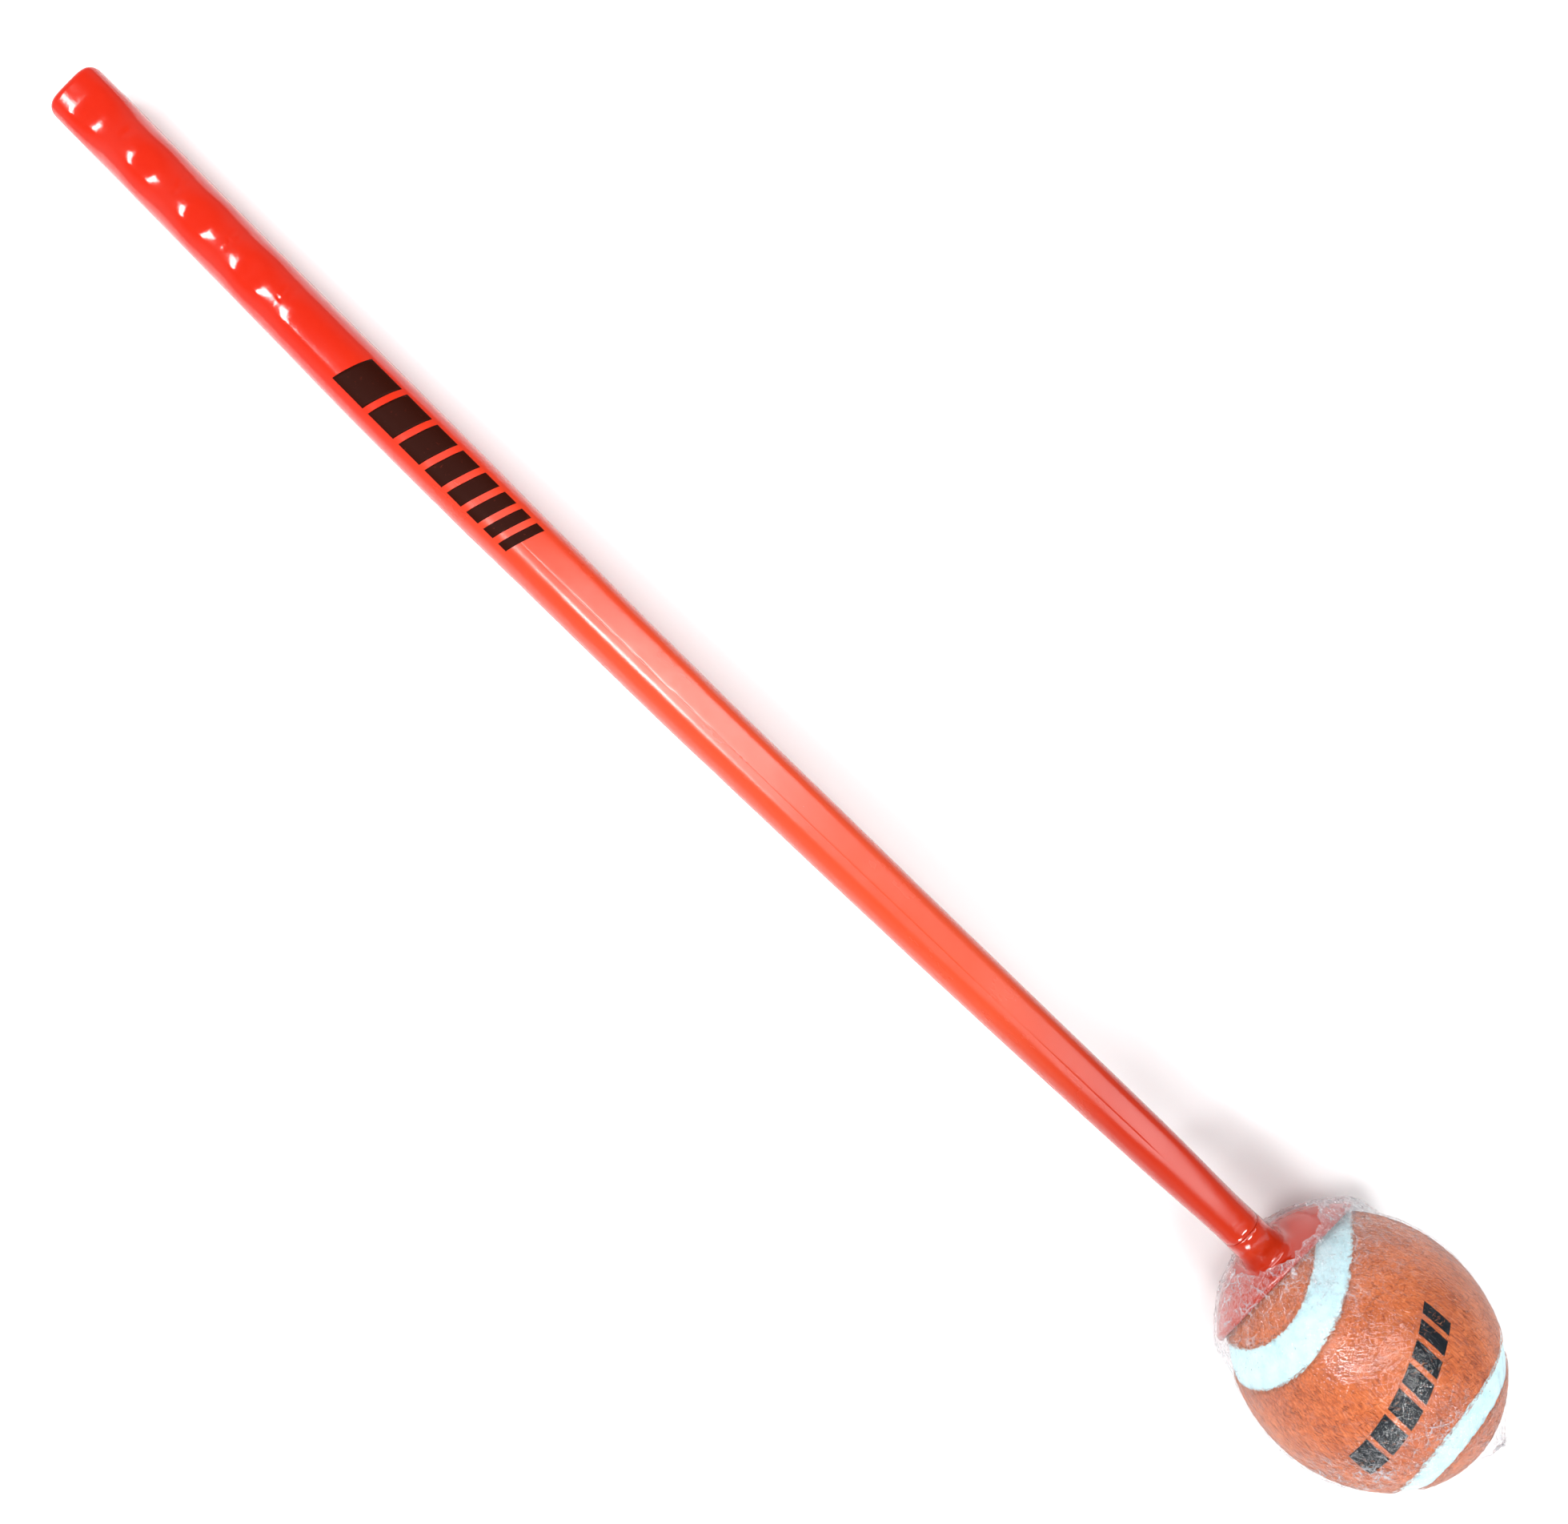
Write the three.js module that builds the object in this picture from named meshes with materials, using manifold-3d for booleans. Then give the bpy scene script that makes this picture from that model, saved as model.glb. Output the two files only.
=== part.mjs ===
// A throwing stick for a dog ball: a hollow moulded shaft with a finger grip, an end plug, a scoop-shaped
// cup at the far end, a felt-covered rubber ball seated in the cup, and a clear film wrapped round both.
// Millimetres, +Z up. The stick lies along X on a surface at Z = 0, butt towards -X, cup opening upwards.

import * as THREE from 'three';
import { ParametricGeometry } from 'three/addons/geometries/ParametricGeometry.js';
import { mergeVertices } from 'three/addons/utils/BufferGeometryUtils.js';
import Module from 'manifold-3d';

const wasm = await Module();
wasm.setup();

// ---------- driving dimensions ----------

const LENGTH = 501.5;             // butt face to the far side of the wrapped ball
const GAP = 0.3;                  // between pieces that touch on the real object

const BALL_RADIUS = 32.2;         // over the felt
const FELT = 2.9;
const CORE_WALL = 3.2;
const SEAM_WIDTH = 9.4;
const SEAM_WAVE = 0.2;            // share of the third harmonic in the seam curve
const SEAM_TURN = new THREE.Euler(
  THREE.MathUtils.degToRad(163.6), THREE.MathUtils.degToRad(3.6), THREE.MathUtils.degToRad(145.4), 'ZYX');

const CUP_CLEARANCE = 0.4;        // ball to cup
const CUP_WALL = 2.0;
const CUP_POLE = 29;              // degrees that the cup's middle lies below horizontal, behind the ball
const CUP_HALF_ANGLE = 47;
const TONGUE_POLE = 73;           // the same two angles for the tongue that carries on under the ball
const TONGUE_HALF_ANGLE = 44;

const FILM_GAP = 0.35;
const FILM = 0.35;                // several layers of stretch film together
const FILM_SLOPE_ANGLE = 17;      // degrees over which the film comes down from the cup's rim to the ball
const MOUTH_AZIMUTH = 173.5;      // where the film is open round the neck
const MOUTH_ELEVATION = -3;
const MOUTH_HALF_ANGLE = 20.5;

const SHAFT_WALL = 1.8;
const SHAFT_BOW = 2.9;            // sideways warp at mid length
const SHAFT_RISE_POWER = 1.3;
const BUTT_HALF_DEPTH = 9.6;
const TOP_ROUNDNESS = 2.6;        // superellipse exponents of the section
const BUTT_ROUNDNESS = 4.2;
const BOTTOM_ROUNDNESS = 3.2;
const FLAT_SIDE = 1.7;            // added to the exponent on the +Y half of the middle, and on the -Y half
const ROUND_SIDE = -0.4;
const BUTT_EDGE_RADIUS = 2.0;
const SEAT_GAP = 0.4;             // more than the plug's gap, so that its rim sits free of the shaft's edge

const GROOVE_COUNT = 4;
const GROOVE_PITCH = 20.6;
const GROOVE_START = 6.9;         // first ridge, from the butt
const GROOVE_DEPTH = 0.8;
const GROOVE_LOW = 0.4;           // of each groove's length, where it is deepest

const NECK_LENGTH = 11.2;         // shaft end to the cup's outer wall
// past the shaft's end, half width, half depth, and how far the centre has dropped
const NECK_SIZES = [
  [0, 5.4, 6.0, 0],
  [2.6, 5.5, 6.2, 0.5],
  [5.6, 5.7, 6.6, 2.2],
  [8.6, 6.1, 7.2, 4.4],
  [11.7, 6.6, 7.6, 5.6],
  [14.2, 7.2, 8.0, 6.2],
  [17.2, 7.8, 8.4, 6.4],
];
const SPIGOT_LENGTH = 5.5;
const SPIGOT_HALF_WIDTH = 3.3;
const SPIGOT_HALF_DEPTH = 3.0;
const SPIGOT_DROP = 1.4;
const SPIGOT_WALL = 1.2;

const PLUG_FACE = 1.7;            // thickness of the plug's visible disc
const PLUG_SETBACK = 0.6;         // the shaft's end stands this far behind the disc's face
const PLUG_LENGTH = 8;
const PLUG_FLAT_SHARE = 0.7;      // of the face that is truly flat
const SHANK_STEP = 0.3;           // the plug's shank is this much smaller than its disc, and tapers as much

const SHAFT_SIDES = 24;
const SPHERE_SIDES = 32;

// ---------- places worked out from them ----------

const CUP_INNER = BALL_RADIUS + CUP_CLEARANCE;
const CUP_OUTER = CUP_INNER + CUP_WALL;
const FILM_ON_BALL = BALL_RADIUS + FILM_GAP;
const FILM_ON_CUP = CUP_OUTER + FILM_GAP;
const CORE_RADIUS = BALL_RADIUS - FELT - GAP * 1.5;

const BUTT_X = -LENGTH / 2;
const BALL = new THREE.Vector3(LENGTH / 2 - FILM_ON_BALL - FILM, 0, FILM_ON_CUP + FILM);
const SHAFT_END_X = BALL.x - CUP_OUTER - NECK_LENGTH;
const SHAFT_END_Z = BALL.z + 5.4;

// half width and half depth of the shaft, at distances from the butt
const SHAFT_SIZES = [
  [0, 8.75, BUTT_HALF_DEPTH],
  [72, 8.85, 9.6],
  [125, 9.1, 9.6],
  [220, 8.3, 8.9],
  [320, 7.3, 7.9],
  [392, 6.25, 6.9],
  [SHAFT_END_X - BUTT_X - 7, 5.45, 6.2],
  [SHAFT_END_X - BUTT_X, 5.4, 6.0],
];

// ---------- helpers ----------

// The value of column k of a table at s, on a smooth line through its rows.
function sized(table, s, k) {
  const last = table.length - 1;
  let i = 0;
  while (i < last - 1 && s > table[i + 1][0]) i += 1;
  const [a, b] = [table[i], table[i + 1]];
  const slope = (j) => {
    const before = table[Math.max(j - 1, 0)];
    const after = table[Math.min(j + 1, last)];
    return (after[k] - before[k]) / (after[0] - before[0]);
  };
  const span = b[0] - a[0];
  const q = THREE.MathUtils.clamp((s - a[0]) / span, 0, 1);
  const q2 = q * q;
  const q3 = q2 * q;
  return (2 * q3 - 3 * q2 + 1) * a[k] + (q3 - 2 * q2 + q) * span * slope(i)
    + (3 * q2 - 2 * q3) * b[k] + (q3 - q2) * span * slope(i + 1);
}

// A unit vector from an azimuth about +Z and an elevation, in degrees.
function direction(azimuth, elevation) {
  const a = THREE.MathUtils.degToRad(azimuth);
  const e = THREE.MathUtils.degToRad(elevation);
  return new THREE.Vector3(Math.cos(e) * Math.cos(a), Math.cos(e) * Math.sin(a), Math.sin(e));
}

// Positions only, shared vertices merged, no collapsed triangles, faces pointing out.
function closed(geometry) {
  const bare = geometry.clone();
  bare.deleteAttribute('normal');
  bare.deleteAttribute('uv');
  const merged = mergeVertices(bare, 1e-3);
  const at = merged.attributes.position;
  const [a, b, c] = [new THREE.Vector3(), new THREE.Vector3(), new THREE.Vector3()];
  const kept = [];
  let volume = 0;
  for (let i = 0; i < merged.index.count; i += 3) {
    const [p, q, r] = [0, 1, 2].map((k) => merged.index.getX(i + k));
    if (p === q || q === r || r === p) continue;
    kept.push(p, q, r);
    volume += a.fromBufferAttribute(at, p).dot(b.fromBufferAttribute(at, q).cross(c.fromBufferAttribute(at, r)));
  }
  if (volume < 0) kept.reverse();
  merged.setIndex(kept);
  return merged;
}

// A skin over a row of rings. Each ring is a function from an angle to a point; a ring that is one point
// closes an end, and a row that comes back to its first ring makes a tube with an inside and an outside.
function loft(rings, sides) {
  const at = (u, v, target) => {
    const ring = rings[Math.round(v * (rings.length - 1))];
    target.copy(ring(2 * Math.PI * (u === 1 ? 0 : u)));
  };
  return closed(new ParametricGeometry(at, sides, rings.length - 1));
}

function solidOf(geometry) {
  const g = closed(geometry);
  return new wasm.Manifold(new wasm.Mesh({
    numProp: 3,
    vertProperties: new Float32Array(g.attributes.position.array),
    triVerts: new Uint32Array(g.index.array),
  }));
}

function geometryOf(solid) {
  const mesh = solid.getMesh();
  const geometry = new THREE.BufferGeometry();
  geometry.setAttribute('position', new THREE.BufferAttribute(new Float32Array(mesh.vertProperties), 3));
  geometry.setIndex([...mesh.triVerts]);
  return geometry;
}

function lathe(profile, sides) {
  return closed(new THREE.LatheGeometry(profile.map(([x, y]) => new THREE.Vector2(x, y)), sides));
}

// Points of an arc about the origin in a lathe's profile, with angles measured from the lathe's axis.
function arc(radius, from, to, steps) {
  return Array.from({ length: steps + 1 }, (_, i) => {
    const angle = THREE.MathUtils.degToRad(from + ((to - from) * i) / steps);
    return [Math.max(radius * Math.sin(angle), 0), radius * Math.cos(angle)];
  });
}

// Turns a lathe's axis to point along a direction, and moves its centre to the ball's.
function aimed(geometry, axis) {
  const turn = new THREE.Quaternion().setFromUnitVectors(new THREE.Vector3(0, 1, 0), axis);
  return geometry.applyQuaternion(turn).translate(BALL.x, BALL.y, BALL.z);
}

// ---------- the shaft's line and section ----------

function shaftCentre(x) {
  const u = (x - BUTT_X) / (SHAFT_END_X - BUTT_X);
  const rise = SHAFT_END_Z - BUTT_HALF_DEPTH;
  return new THREE.Vector3(x, -SHAFT_BOW * Math.sin(Math.PI * u), BUTT_HALF_DEPTH + rise * u ** SHAFT_RISE_POWER);
}

// How far the top is scooped out for the fingers: a short fall after each ridge, then a longer rise.
function grooveDepth(x) {
  const along = (x - BUTT_X - GROOVE_START) / GROOVE_PITCH;
  if (along < 0 || along > GROOVE_COUNT) return 0;
  const fall = THREE.MathUtils.smoothstep(along % 1, 0, GROOVE_LOW);
  const rise = 1 - THREE.MathUtils.smoothstep(along % 1, GROOVE_LOW, 1);
  return GROOVE_DEPTH * Math.min(fall, rise);
}

// How square the top is: squarer at the butt, and in the middle a flat +Y half beside a round -Y half.
function topRoundness(s, side) {
  const butt = 1 - THREE.MathUtils.smoothstep(s, 4, 20);
  const middle = THREE.MathUtils.smoothstep(s, 110, 190) * (1 - THREE.MathUtils.smoothstep(s, 395, 425));
  return TOP_ROUNDNESS + (BUTT_ROUNDNESS - TOP_ROUNDNESS) * butt + middle * (side > 0 ? FLAT_SIDE : ROUND_SIDE);
}

// A ring across X: a superellipse, squarer below than above, with its top lowered by the scoop.
function section(centre, halfWidth, halfDepth, scoop = 0) {
  const along = centre.x - BUTT_X;
  return (angle) => {
    const [c, s] = [Math.cos(angle), Math.sin(angle)];
    const power = 2 / (s > 0 ? topRoundness(along, c) : BOTTOM_ROUNDNESS);
    const y = Math.sign(c) * Math.abs(c) ** power * halfWidth;
    const z = Math.sign(s) * Math.abs(s) ** power * halfDepth;
    const lowered = scoop * THREE.MathUtils.smoothstep(z / halfDepth, 0.1, 0.95);
    return new THREE.Vector3(centre.x, centre.y + y, centre.z + z - lowered);
  };
}

function shaftRing(x, inset) {
  const s = x - BUTT_X;
  const [width, depth] = [sized(SHAFT_SIZES, s, 1), sized(SHAFT_SIZES, s, 2)];
  return section(shaftCentre(x), width - inset, depth - inset, grooveDepth(x));
}

// Places along the shaft past a first one: a few rings to each groove, and only some on the plain length.
function shaftStations(first, grooveSteps, plainSteps) {
  const start = BUTT_X + GROOVE_START;
  const gripEnd = start + GROOVE_COUNT * GROOVE_PITCH;
  const inGrip = Array.from({ length: GROOVE_COUNT * grooveSteps + 1 },
    (_, i) => start + (GROOVE_PITCH * i) / grooveSteps);
  const beyond = Array.from({ length: plainSteps }, (_, i) =>
    gripEnd + ((SHAFT_END_X - 2 * SHAFT_WALL - gripEnd) * (i + 1)) / plainSteps);
  return [...inGrip, ...beyond].filter((x) => x > first);
}

function spigotRing(x, inset) {
  const centre = shaftCentre(SHAFT_END_X);
  centre.x = x;
  centre.z -= SPIGOT_DROP;
  return section(centre, SPIGOT_HALF_WIDTH - inset, SPIGOT_HALF_DEPTH - inset);
}

// ---------- pieces of the stick ----------

// One hollow moulding, open at both ends: rounded at the butt, stepped down to a spigot at the cup end.
function makeShaft() {
  const face = BUTT_X + PLUG_SETBACK;
  const edge = [0, 30, 60, 90].map((degrees) => {
    const a = THREE.MathUtils.degToRad(degrees);
    return shaftRing(face + BUTT_EDGE_RADIUS * (1 - Math.sin(a)), BUTT_EDGE_RADIUS * (1 - Math.cos(a)));
  }).reverse();
  const outer = shaftStations(face + BUTT_EDGE_RADIUS + 1, 5, 14).map((x) => shaftRing(x, 0));
  const end = [
    shaftRing(SHAFT_END_X, 0),
    spigotRing(SHAFT_END_X, 0),
    spigotRing(SHAFT_END_X + SPIGOT_LENGTH, 0),
    spigotRing(SHAFT_END_X + SPIGOT_LENGTH, SPIGOT_WALL),
    spigotRing(SHAFT_END_X - SHAFT_WALL, SPIGOT_WALL),
  ];
  const seatEnd = BUTT_X + PLUG_FACE + 1;
  const inner = shaftStations(seatEnd + 1, 5, 9).reverse().map((x) => shaftRing(x, SHAFT_WALL));
  const seat = [
    shaftRing(seatEnd, SHAFT_WALL),
    shaftRing(face + BUTT_EDGE_RADIUS * 0.4, BUTT_EDGE_RADIUS + SEAT_GAP),
  ];
  return loft([...edge, ...outer, ...end, ...inner, ...seat, edge[0]], SHAFT_SIDES);
}

// A disc that shows at the butt, flat in the middle with a rounded rim, on a hollow-fitting shank.
function makeButtPlug() {
  const [, halfWidth, halfDepth] = SHAFT_SIZES[0];
  const at = (past, inset) =>
    section(shaftCentre(BUTT_X).setX(BUTT_X + past), halfWidth - inset, halfDepth - inset);
  const middle = (past) => () => shaftCentre(BUTT_X).setX(BUTT_X + past);
  const full = BUTT_EDGE_RADIUS + SEAT_GAP + GAP;
  const flat = halfWidth * (1 - PLUG_FLAT_SHARE) + full * PLUG_FLAT_SHARE;
  const shank = full + SHANK_STEP;
  const rim = PLUG_FACE / 2;
  return loft([
    middle(0),
    at(0, flat),
    at(rim * 0.3, full + rim * 0.6),
    at(rim, full),
    at(PLUG_FACE, full),
    at(PLUG_FACE + 0.5, shank),
    at(PLUG_LENGTH, shank + SHANK_STEP),
    middle(PLUG_LENGTH),
  ], SHAFT_SIDES);
}

// A ball-centred solid sphere.
function sphere(radius) {
  return solidOf(aimed(lathe(arc(radius, 0, 180, SPHERE_SIDES / 2), SPHERE_SIDES), direction(180, -CUP_POLE)));
}

// Everything within a half angle of an axis through the ball's centre, out past the cup.
function cone(axis, halfAngle) {
  const profile = [[0, 0], ...arc(CUP_OUTER * 1.2, halfAngle, 0, 6)];
  return solidOf(aimed(lathe(profile, SPHERE_SIDES), axis));
}

// The neck bends down from the shaft's end and runs into the cup's wall.
function makeNeck() {
  const centreOf = ([past, , , drop]) =>
    new THREE.Vector3(SHAFT_END_X + GAP + past, 0, SHAFT_END_Z - drop);
  const rings = NECK_SIZES.map((row) => section(centreOf(row), row[1], row[2]));
  const ends = [NECK_SIZES[0], NECK_SIZES.at(-1)].map((row) => () => centreOf(row));
  return loft([ends[0], ...rings, ends[1]], SHAFT_SIDES);
}

function makeSocket() {
  const grown = (x) => spigotRing(x, -GAP);
  const centre = (x) => () => shaftCentre(SHAFT_END_X).setX(x).add(new THREE.Vector3(0, 0, -SPIGOT_DROP));
  const [from, to] = [SHAFT_END_X - SHAFT_WALL, SHAFT_END_X + SPIGOT_LENGTH + GAP];
  return loft([centre(from), grown(from), grown(to), centre(to)], SHAFT_SIDES);
}

function makeCupHead() {
  const scoop = cone(direction(180, -CUP_POLE), CUP_HALF_ANGLE)
    .add(cone(direction(180, -TONGUE_POLE), TONGUE_HALF_ANGLE))
    .intersect(sphere(CUP_OUTER));
  const whole = scoop.add(solidOf(makeNeck()));
  return geometryOf(whole.subtract(sphere(CUP_INNER)).subtract(solidOf(makeSocket())));
}

// ---------- the film ----------

// How far the film's inner side is from the ball's centre in a direction: out over the cup, in on the ball.
function filmRadius(away) {
  const beyond = (pole, half) =>
    THREE.MathUtils.radToDeg(away.angleTo(direction(180, -pole))) - half;
  const outside = Math.min(beyond(CUP_POLE, CUP_HALF_ANGLE), beyond(TONGUE_POLE, TONGUE_HALF_ANGLE));
  const down = THREE.MathUtils.smoothstep(outside, 1.5, FILM_SLOPE_ANGLE);
  return THREE.MathUtils.lerp(FILM_ON_CUP, FILM_ON_BALL, down);
}

function makeFilm() {
  const mouth = direction(MOUTH_AZIMUTH, MOUTH_ELEVATION);
  const turn = new THREE.Quaternion().setFromUnitVectors(new THREE.Vector3(1, 0, 0), mouth);
  const steps = 18;
  const ring = (i, thick) => (angle) => {
    const polar = THREE.MathUtils.degToRad(180 - ((180 - MOUTH_HALF_ANGLE) * i) / steps);
    const across = i === 0 ? 0 : Math.sin(polar);
    const away = new THREE.Vector3(Math.cos(polar), across * Math.cos(angle), across * Math.sin(angle))
      .applyQuaternion(turn);
    return away.clone().multiplyScalar(filmRadius(away) + thick).add(BALL);
  };
  const count = Array.from({ length: steps + 1 }, (_, i) => i);
  return loft([...count.map((i) => ring(i, FILM)), ...count.reverse().map((i) => ring(i, 0))], SPHERE_SIDES + 4);
}

// ---------- the ball ----------

// A rubber bowl; the two meet at a glued joint across the ball.
function makeCoreHalf(side) {
  const inner = CORE_RADIUS - CORE_WALL;
  const edge = GAP + 0.2;
  const lip = (radius) => THREE.MathUtils.radToDeg(Math.acos(edge / radius));
  const profile = [...arc(CORE_RADIUS, 0, lip(CORE_RADIUS), 8), ...arc(inner, lip(inner), 0, 6)];
  return aimed(lathe(profile, 24), direction(90, 0).multiplyScalar(side));
}

function makeCement() {
  const [outer, inner, half] = [CORE_RADIUS - 0.1, CORE_RADIUS - CORE_WALL + 0.1, 0.2];
  const profile = [[inner, -half], [outer, -half], [outer, half], [inner, half], [inner, -half]];
  return aimed(lathe(profile, 24), direction(90, 0));
}

// The seam's curve on a unit sphere, the wavy closed line of a tennis ball.
function seamPoint(t) {
  const [a, b] = [1 - SEAM_WAVE, SEAM_WAVE];
  return new THREE.Vector3(
    a * Math.cos(t) + b * Math.cos(3 * t),
    a * Math.sin(t) - b * Math.sin(3 * t),
    2 * Math.sqrt(a * b) * Math.sin(2 * t),
  ).applyEuler(SEAM_TURN);
}

// A strip of that curve between two radii, with a half width either side.
function seamStrip(inner, outer, halfWidth, steps) {
  const corners = [[inner, -1], [outer, -1], [outer, 0], [outer, 1], [inner, 1], [inner, 0]];
  const at = (u, v, target) => {
    const t = 2 * Math.PI * (v === 1 ? 0 : v);
    const point = seamPoint(t);
    const across = seamPoint(t + 0.01).sub(seamPoint(t - 0.01)).cross(point).normalize();
    const [radius, side] = corners[Math.round(u * corners.length) % corners.length];
    const swing = (side * halfWidth) / BALL_RADIUS;
    target.copy(point).multiplyScalar(Math.cos(swing)).addScaledVector(across, Math.sin(swing));
    target.normalize().multiplyScalar(radius).add(BALL);
  };
  return closed(new ParametricGeometry(at, corners.length, steps));
}

function makeFeltPanels() {
  const inner = BALL_RADIUS - FELT;
  const channel = solidOf(seamStrip(inner - 4, BALL_RADIUS + 4, SEAM_WIDTH / 2 + GAP, 72));
  return sphere(BALL_RADIUS).subtract(sphere(inner)).subtract(channel).decompose().map(geometryOf);
}

// ---------- materials and assembly ----------

const ORANGE = { color: 0xf0402a, roughness: 0.28, metalness: 0 };
const FELT_LOOK = { color: 0xbb5f35, roughness: 0.95, metalness: 0 };
const SEAM_LOOK = { color: 0xbfe4ea, roughness: 0.7, metalness: 0 };
const RUBBER_LOOK = { color: 0x3a3835, roughness: 0.9, metalness: 0 };
const CEMENT_LOOK = { color: 0xd8cfb8, roughness: 0.8, metalness: 0 };
const FILM_LOOK = { color: 0xf2f6f8, roughness: 0.1, metalness: 0, transparent: true, opacity: 0.25 };

const group = new THREE.Group();

function addPiece(name, geometry, look) {
  const mesh = new THREE.Mesh(geometry, new THREE.MeshStandardMaterial(look));
  mesh.name = name;
  group.add(mesh);
}

addPiece('butt_plug', makeButtPlug(), ORANGE);
addPiece('shaft', makeShaft(), ORANGE);
addPiece('cup_head', makeCupHead(), ORANGE);
addPiece('film_wrap', makeFilm(), FILM_LOOK);
addPiece('ball_core_half_a', makeCoreHalf(1), RUBBER_LOOK);
addPiece('ball_core_half_b', makeCoreHalf(-1), RUBBER_LOOK);
addPiece('ball_core_cement', makeCement(), CEMENT_LOOK);
const [panelA, panelB] = makeFeltPanels();
addPiece('felt_panel_a', panelA, FELT_LOOK);
addPiece('felt_panel_b', panelB, FELT_LOOK);
addPiece('ball_seam_band', seamStrip(BALL_RADIUS - FELT, BALL_RADIUS - 0.2, SEAM_WIDTH / 2, 72), SEAM_LOOK);

export default group;
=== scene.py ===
"""The looks of a dog ball throwing stick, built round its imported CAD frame: a hollow orange stick with a
finger grip, its end plug and cup, and a felt-covered ball under clear stretch film. Metres, Z up; the stick
lies along X with its butt towards -X, and the cup and ball are at +X."""

import math

import bpy
import numpy as np
from mathutils import Euler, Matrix, Vector, kdtree, noise


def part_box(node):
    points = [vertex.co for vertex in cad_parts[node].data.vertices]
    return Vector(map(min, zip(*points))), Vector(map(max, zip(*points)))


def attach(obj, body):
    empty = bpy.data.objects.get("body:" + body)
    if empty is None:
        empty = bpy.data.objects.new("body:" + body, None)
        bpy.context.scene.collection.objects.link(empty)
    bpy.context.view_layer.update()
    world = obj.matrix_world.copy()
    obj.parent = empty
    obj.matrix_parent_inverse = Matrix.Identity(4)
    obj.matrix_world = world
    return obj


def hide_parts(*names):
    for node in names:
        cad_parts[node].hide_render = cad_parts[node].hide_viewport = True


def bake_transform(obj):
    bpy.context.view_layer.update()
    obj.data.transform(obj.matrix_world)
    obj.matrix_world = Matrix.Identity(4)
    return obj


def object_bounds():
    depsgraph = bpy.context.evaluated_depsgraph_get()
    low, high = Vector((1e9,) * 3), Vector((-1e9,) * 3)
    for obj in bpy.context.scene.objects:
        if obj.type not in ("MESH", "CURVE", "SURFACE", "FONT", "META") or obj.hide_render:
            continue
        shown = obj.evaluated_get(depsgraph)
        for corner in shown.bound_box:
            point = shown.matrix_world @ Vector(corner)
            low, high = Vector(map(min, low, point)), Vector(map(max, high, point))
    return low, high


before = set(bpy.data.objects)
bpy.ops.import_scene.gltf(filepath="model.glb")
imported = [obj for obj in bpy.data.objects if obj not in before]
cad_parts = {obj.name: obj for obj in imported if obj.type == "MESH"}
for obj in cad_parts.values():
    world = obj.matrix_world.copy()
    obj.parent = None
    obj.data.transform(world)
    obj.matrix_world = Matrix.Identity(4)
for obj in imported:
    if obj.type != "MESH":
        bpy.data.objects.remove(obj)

CAD_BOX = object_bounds()
MM = 0.001


# ---------- sizes, the same as the CAD's ----------

BALL_LOW, BALL_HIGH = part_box("ball_core_cement")
BALL = (np.array(BALL_LOW) + np.array(BALL_HIGH)) / 2
BALL_RADIUS = 32.2 * MM
FELT = 2.9 * MM
SEAM_WIDTH = 9.4 * MM
SEAM_WAVE = 0.2
SEAM_TURN = Euler((math.radians(163.6), math.radians(3.6), math.radians(145.4)), "XYZ")

CUP_INNER = BALL_RADIUS + 0.4 * MM
CUP_OUTER = CUP_INNER + 2.0 * MM
CUP_POLE, CUP_HALF_ANGLE = 29, 47
TONGUE_POLE, TONGUE_HALF_ANGLE = 73, 44

BUTT_X = CAD_BOX[0][0]
SHAFT_END_X = BALL[0] - CUP_OUTER - 11.2 * MM
SHAFT_END_Z = BALL[2] + 5.4 * MM
SHAFT_BOW = 2.9 * MM
SHAFT_RISE_POWER = 1.3
SHAFT_WALL = 1.8 * MM
JOINT_EDGE, JOINT_GAP = 0.08 * MM, 0.08 * MM
BUTT_HALF_DEPTH = 9.6 * MM
TOP_ROUNDNESS, BUTT_ROUNDNESS, BOTTOM_ROUNDNESS = 2.6, 4.2, 3.2
BUTT_FADE = 4 * MM, 20 * MM                 # where the butt's squarer top ends, from the butt
MIDDLE_FADE_IN = 110 * MM, 190 * MM         # where the middle's uneven top starts and ends
MIDDLE_FADE_OUT = 395 * MM, 425 * MM
FLAT_SIDE, ROUND_SIDE = 1.7, -0.4           # added to the top's roundness on the +Y and -Y sides there
PLAIN_STATION = 100 * MM                    # where the top is neither squarer nor uneven
EDGE_RADIUS = 2.0 * MM
PLUG_SETBACK, PLUG_LENGTH = 0.6 * MM, 8 * MM
GROOVE_START, GROOVE_PITCH, GROOVE_COUNT, GROOVE_DEPTH = 6.9 * MM, 20.6 * MM, 4, 0.8 * MM
GROOVE_LOW, PINCH = 0.4, 0.77
SPIGOT = {"length": 5.5 * MM, "width": 3.3 * MM, "depth": 3.0 * MM, "drop": 1.4 * MM, "wall": 1.2 * MM}

SHAFT_LENGTH = SHAFT_END_X - BUTT_X
# distance from the butt, half width and half depth
SHAFT_SIZES = np.array([
    [0, 8.75, 9.6],
    [72, 8.85, 9.6],
    [125, 9.1, 9.6],
    [220, 8.3, 8.9],
    [320, 7.3, 7.9],
    [392, 6.25, 6.9],
    [SHAFT_LENGTH / MM - 7, 5.45, 6.2],
    [SHAFT_LENGTH / MM, 5.4, 6.0],
]) * MM


# ---------- the camera, first ----------

def make_camera():
    """Straight down on the stick, as the photograph was taken, with the stick on the frame's diagonal."""
    data = bpy.data.cameras.new("camera")
    data.sensor_width = 36
    data.lens = 29.84
    data.clip_start = 0.01
    camera = bpy.data.objects.new("camera", data)
    camera.location = (BALL[0] - 206.5 * MM, 3.8 * MM, 362 * MM)
    camera.rotation_euler = (0, 0, math.radians(44.27))
    bpy.context.scene.collection.objects.link(camera)
    bpy.context.scene.camera = camera


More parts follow.
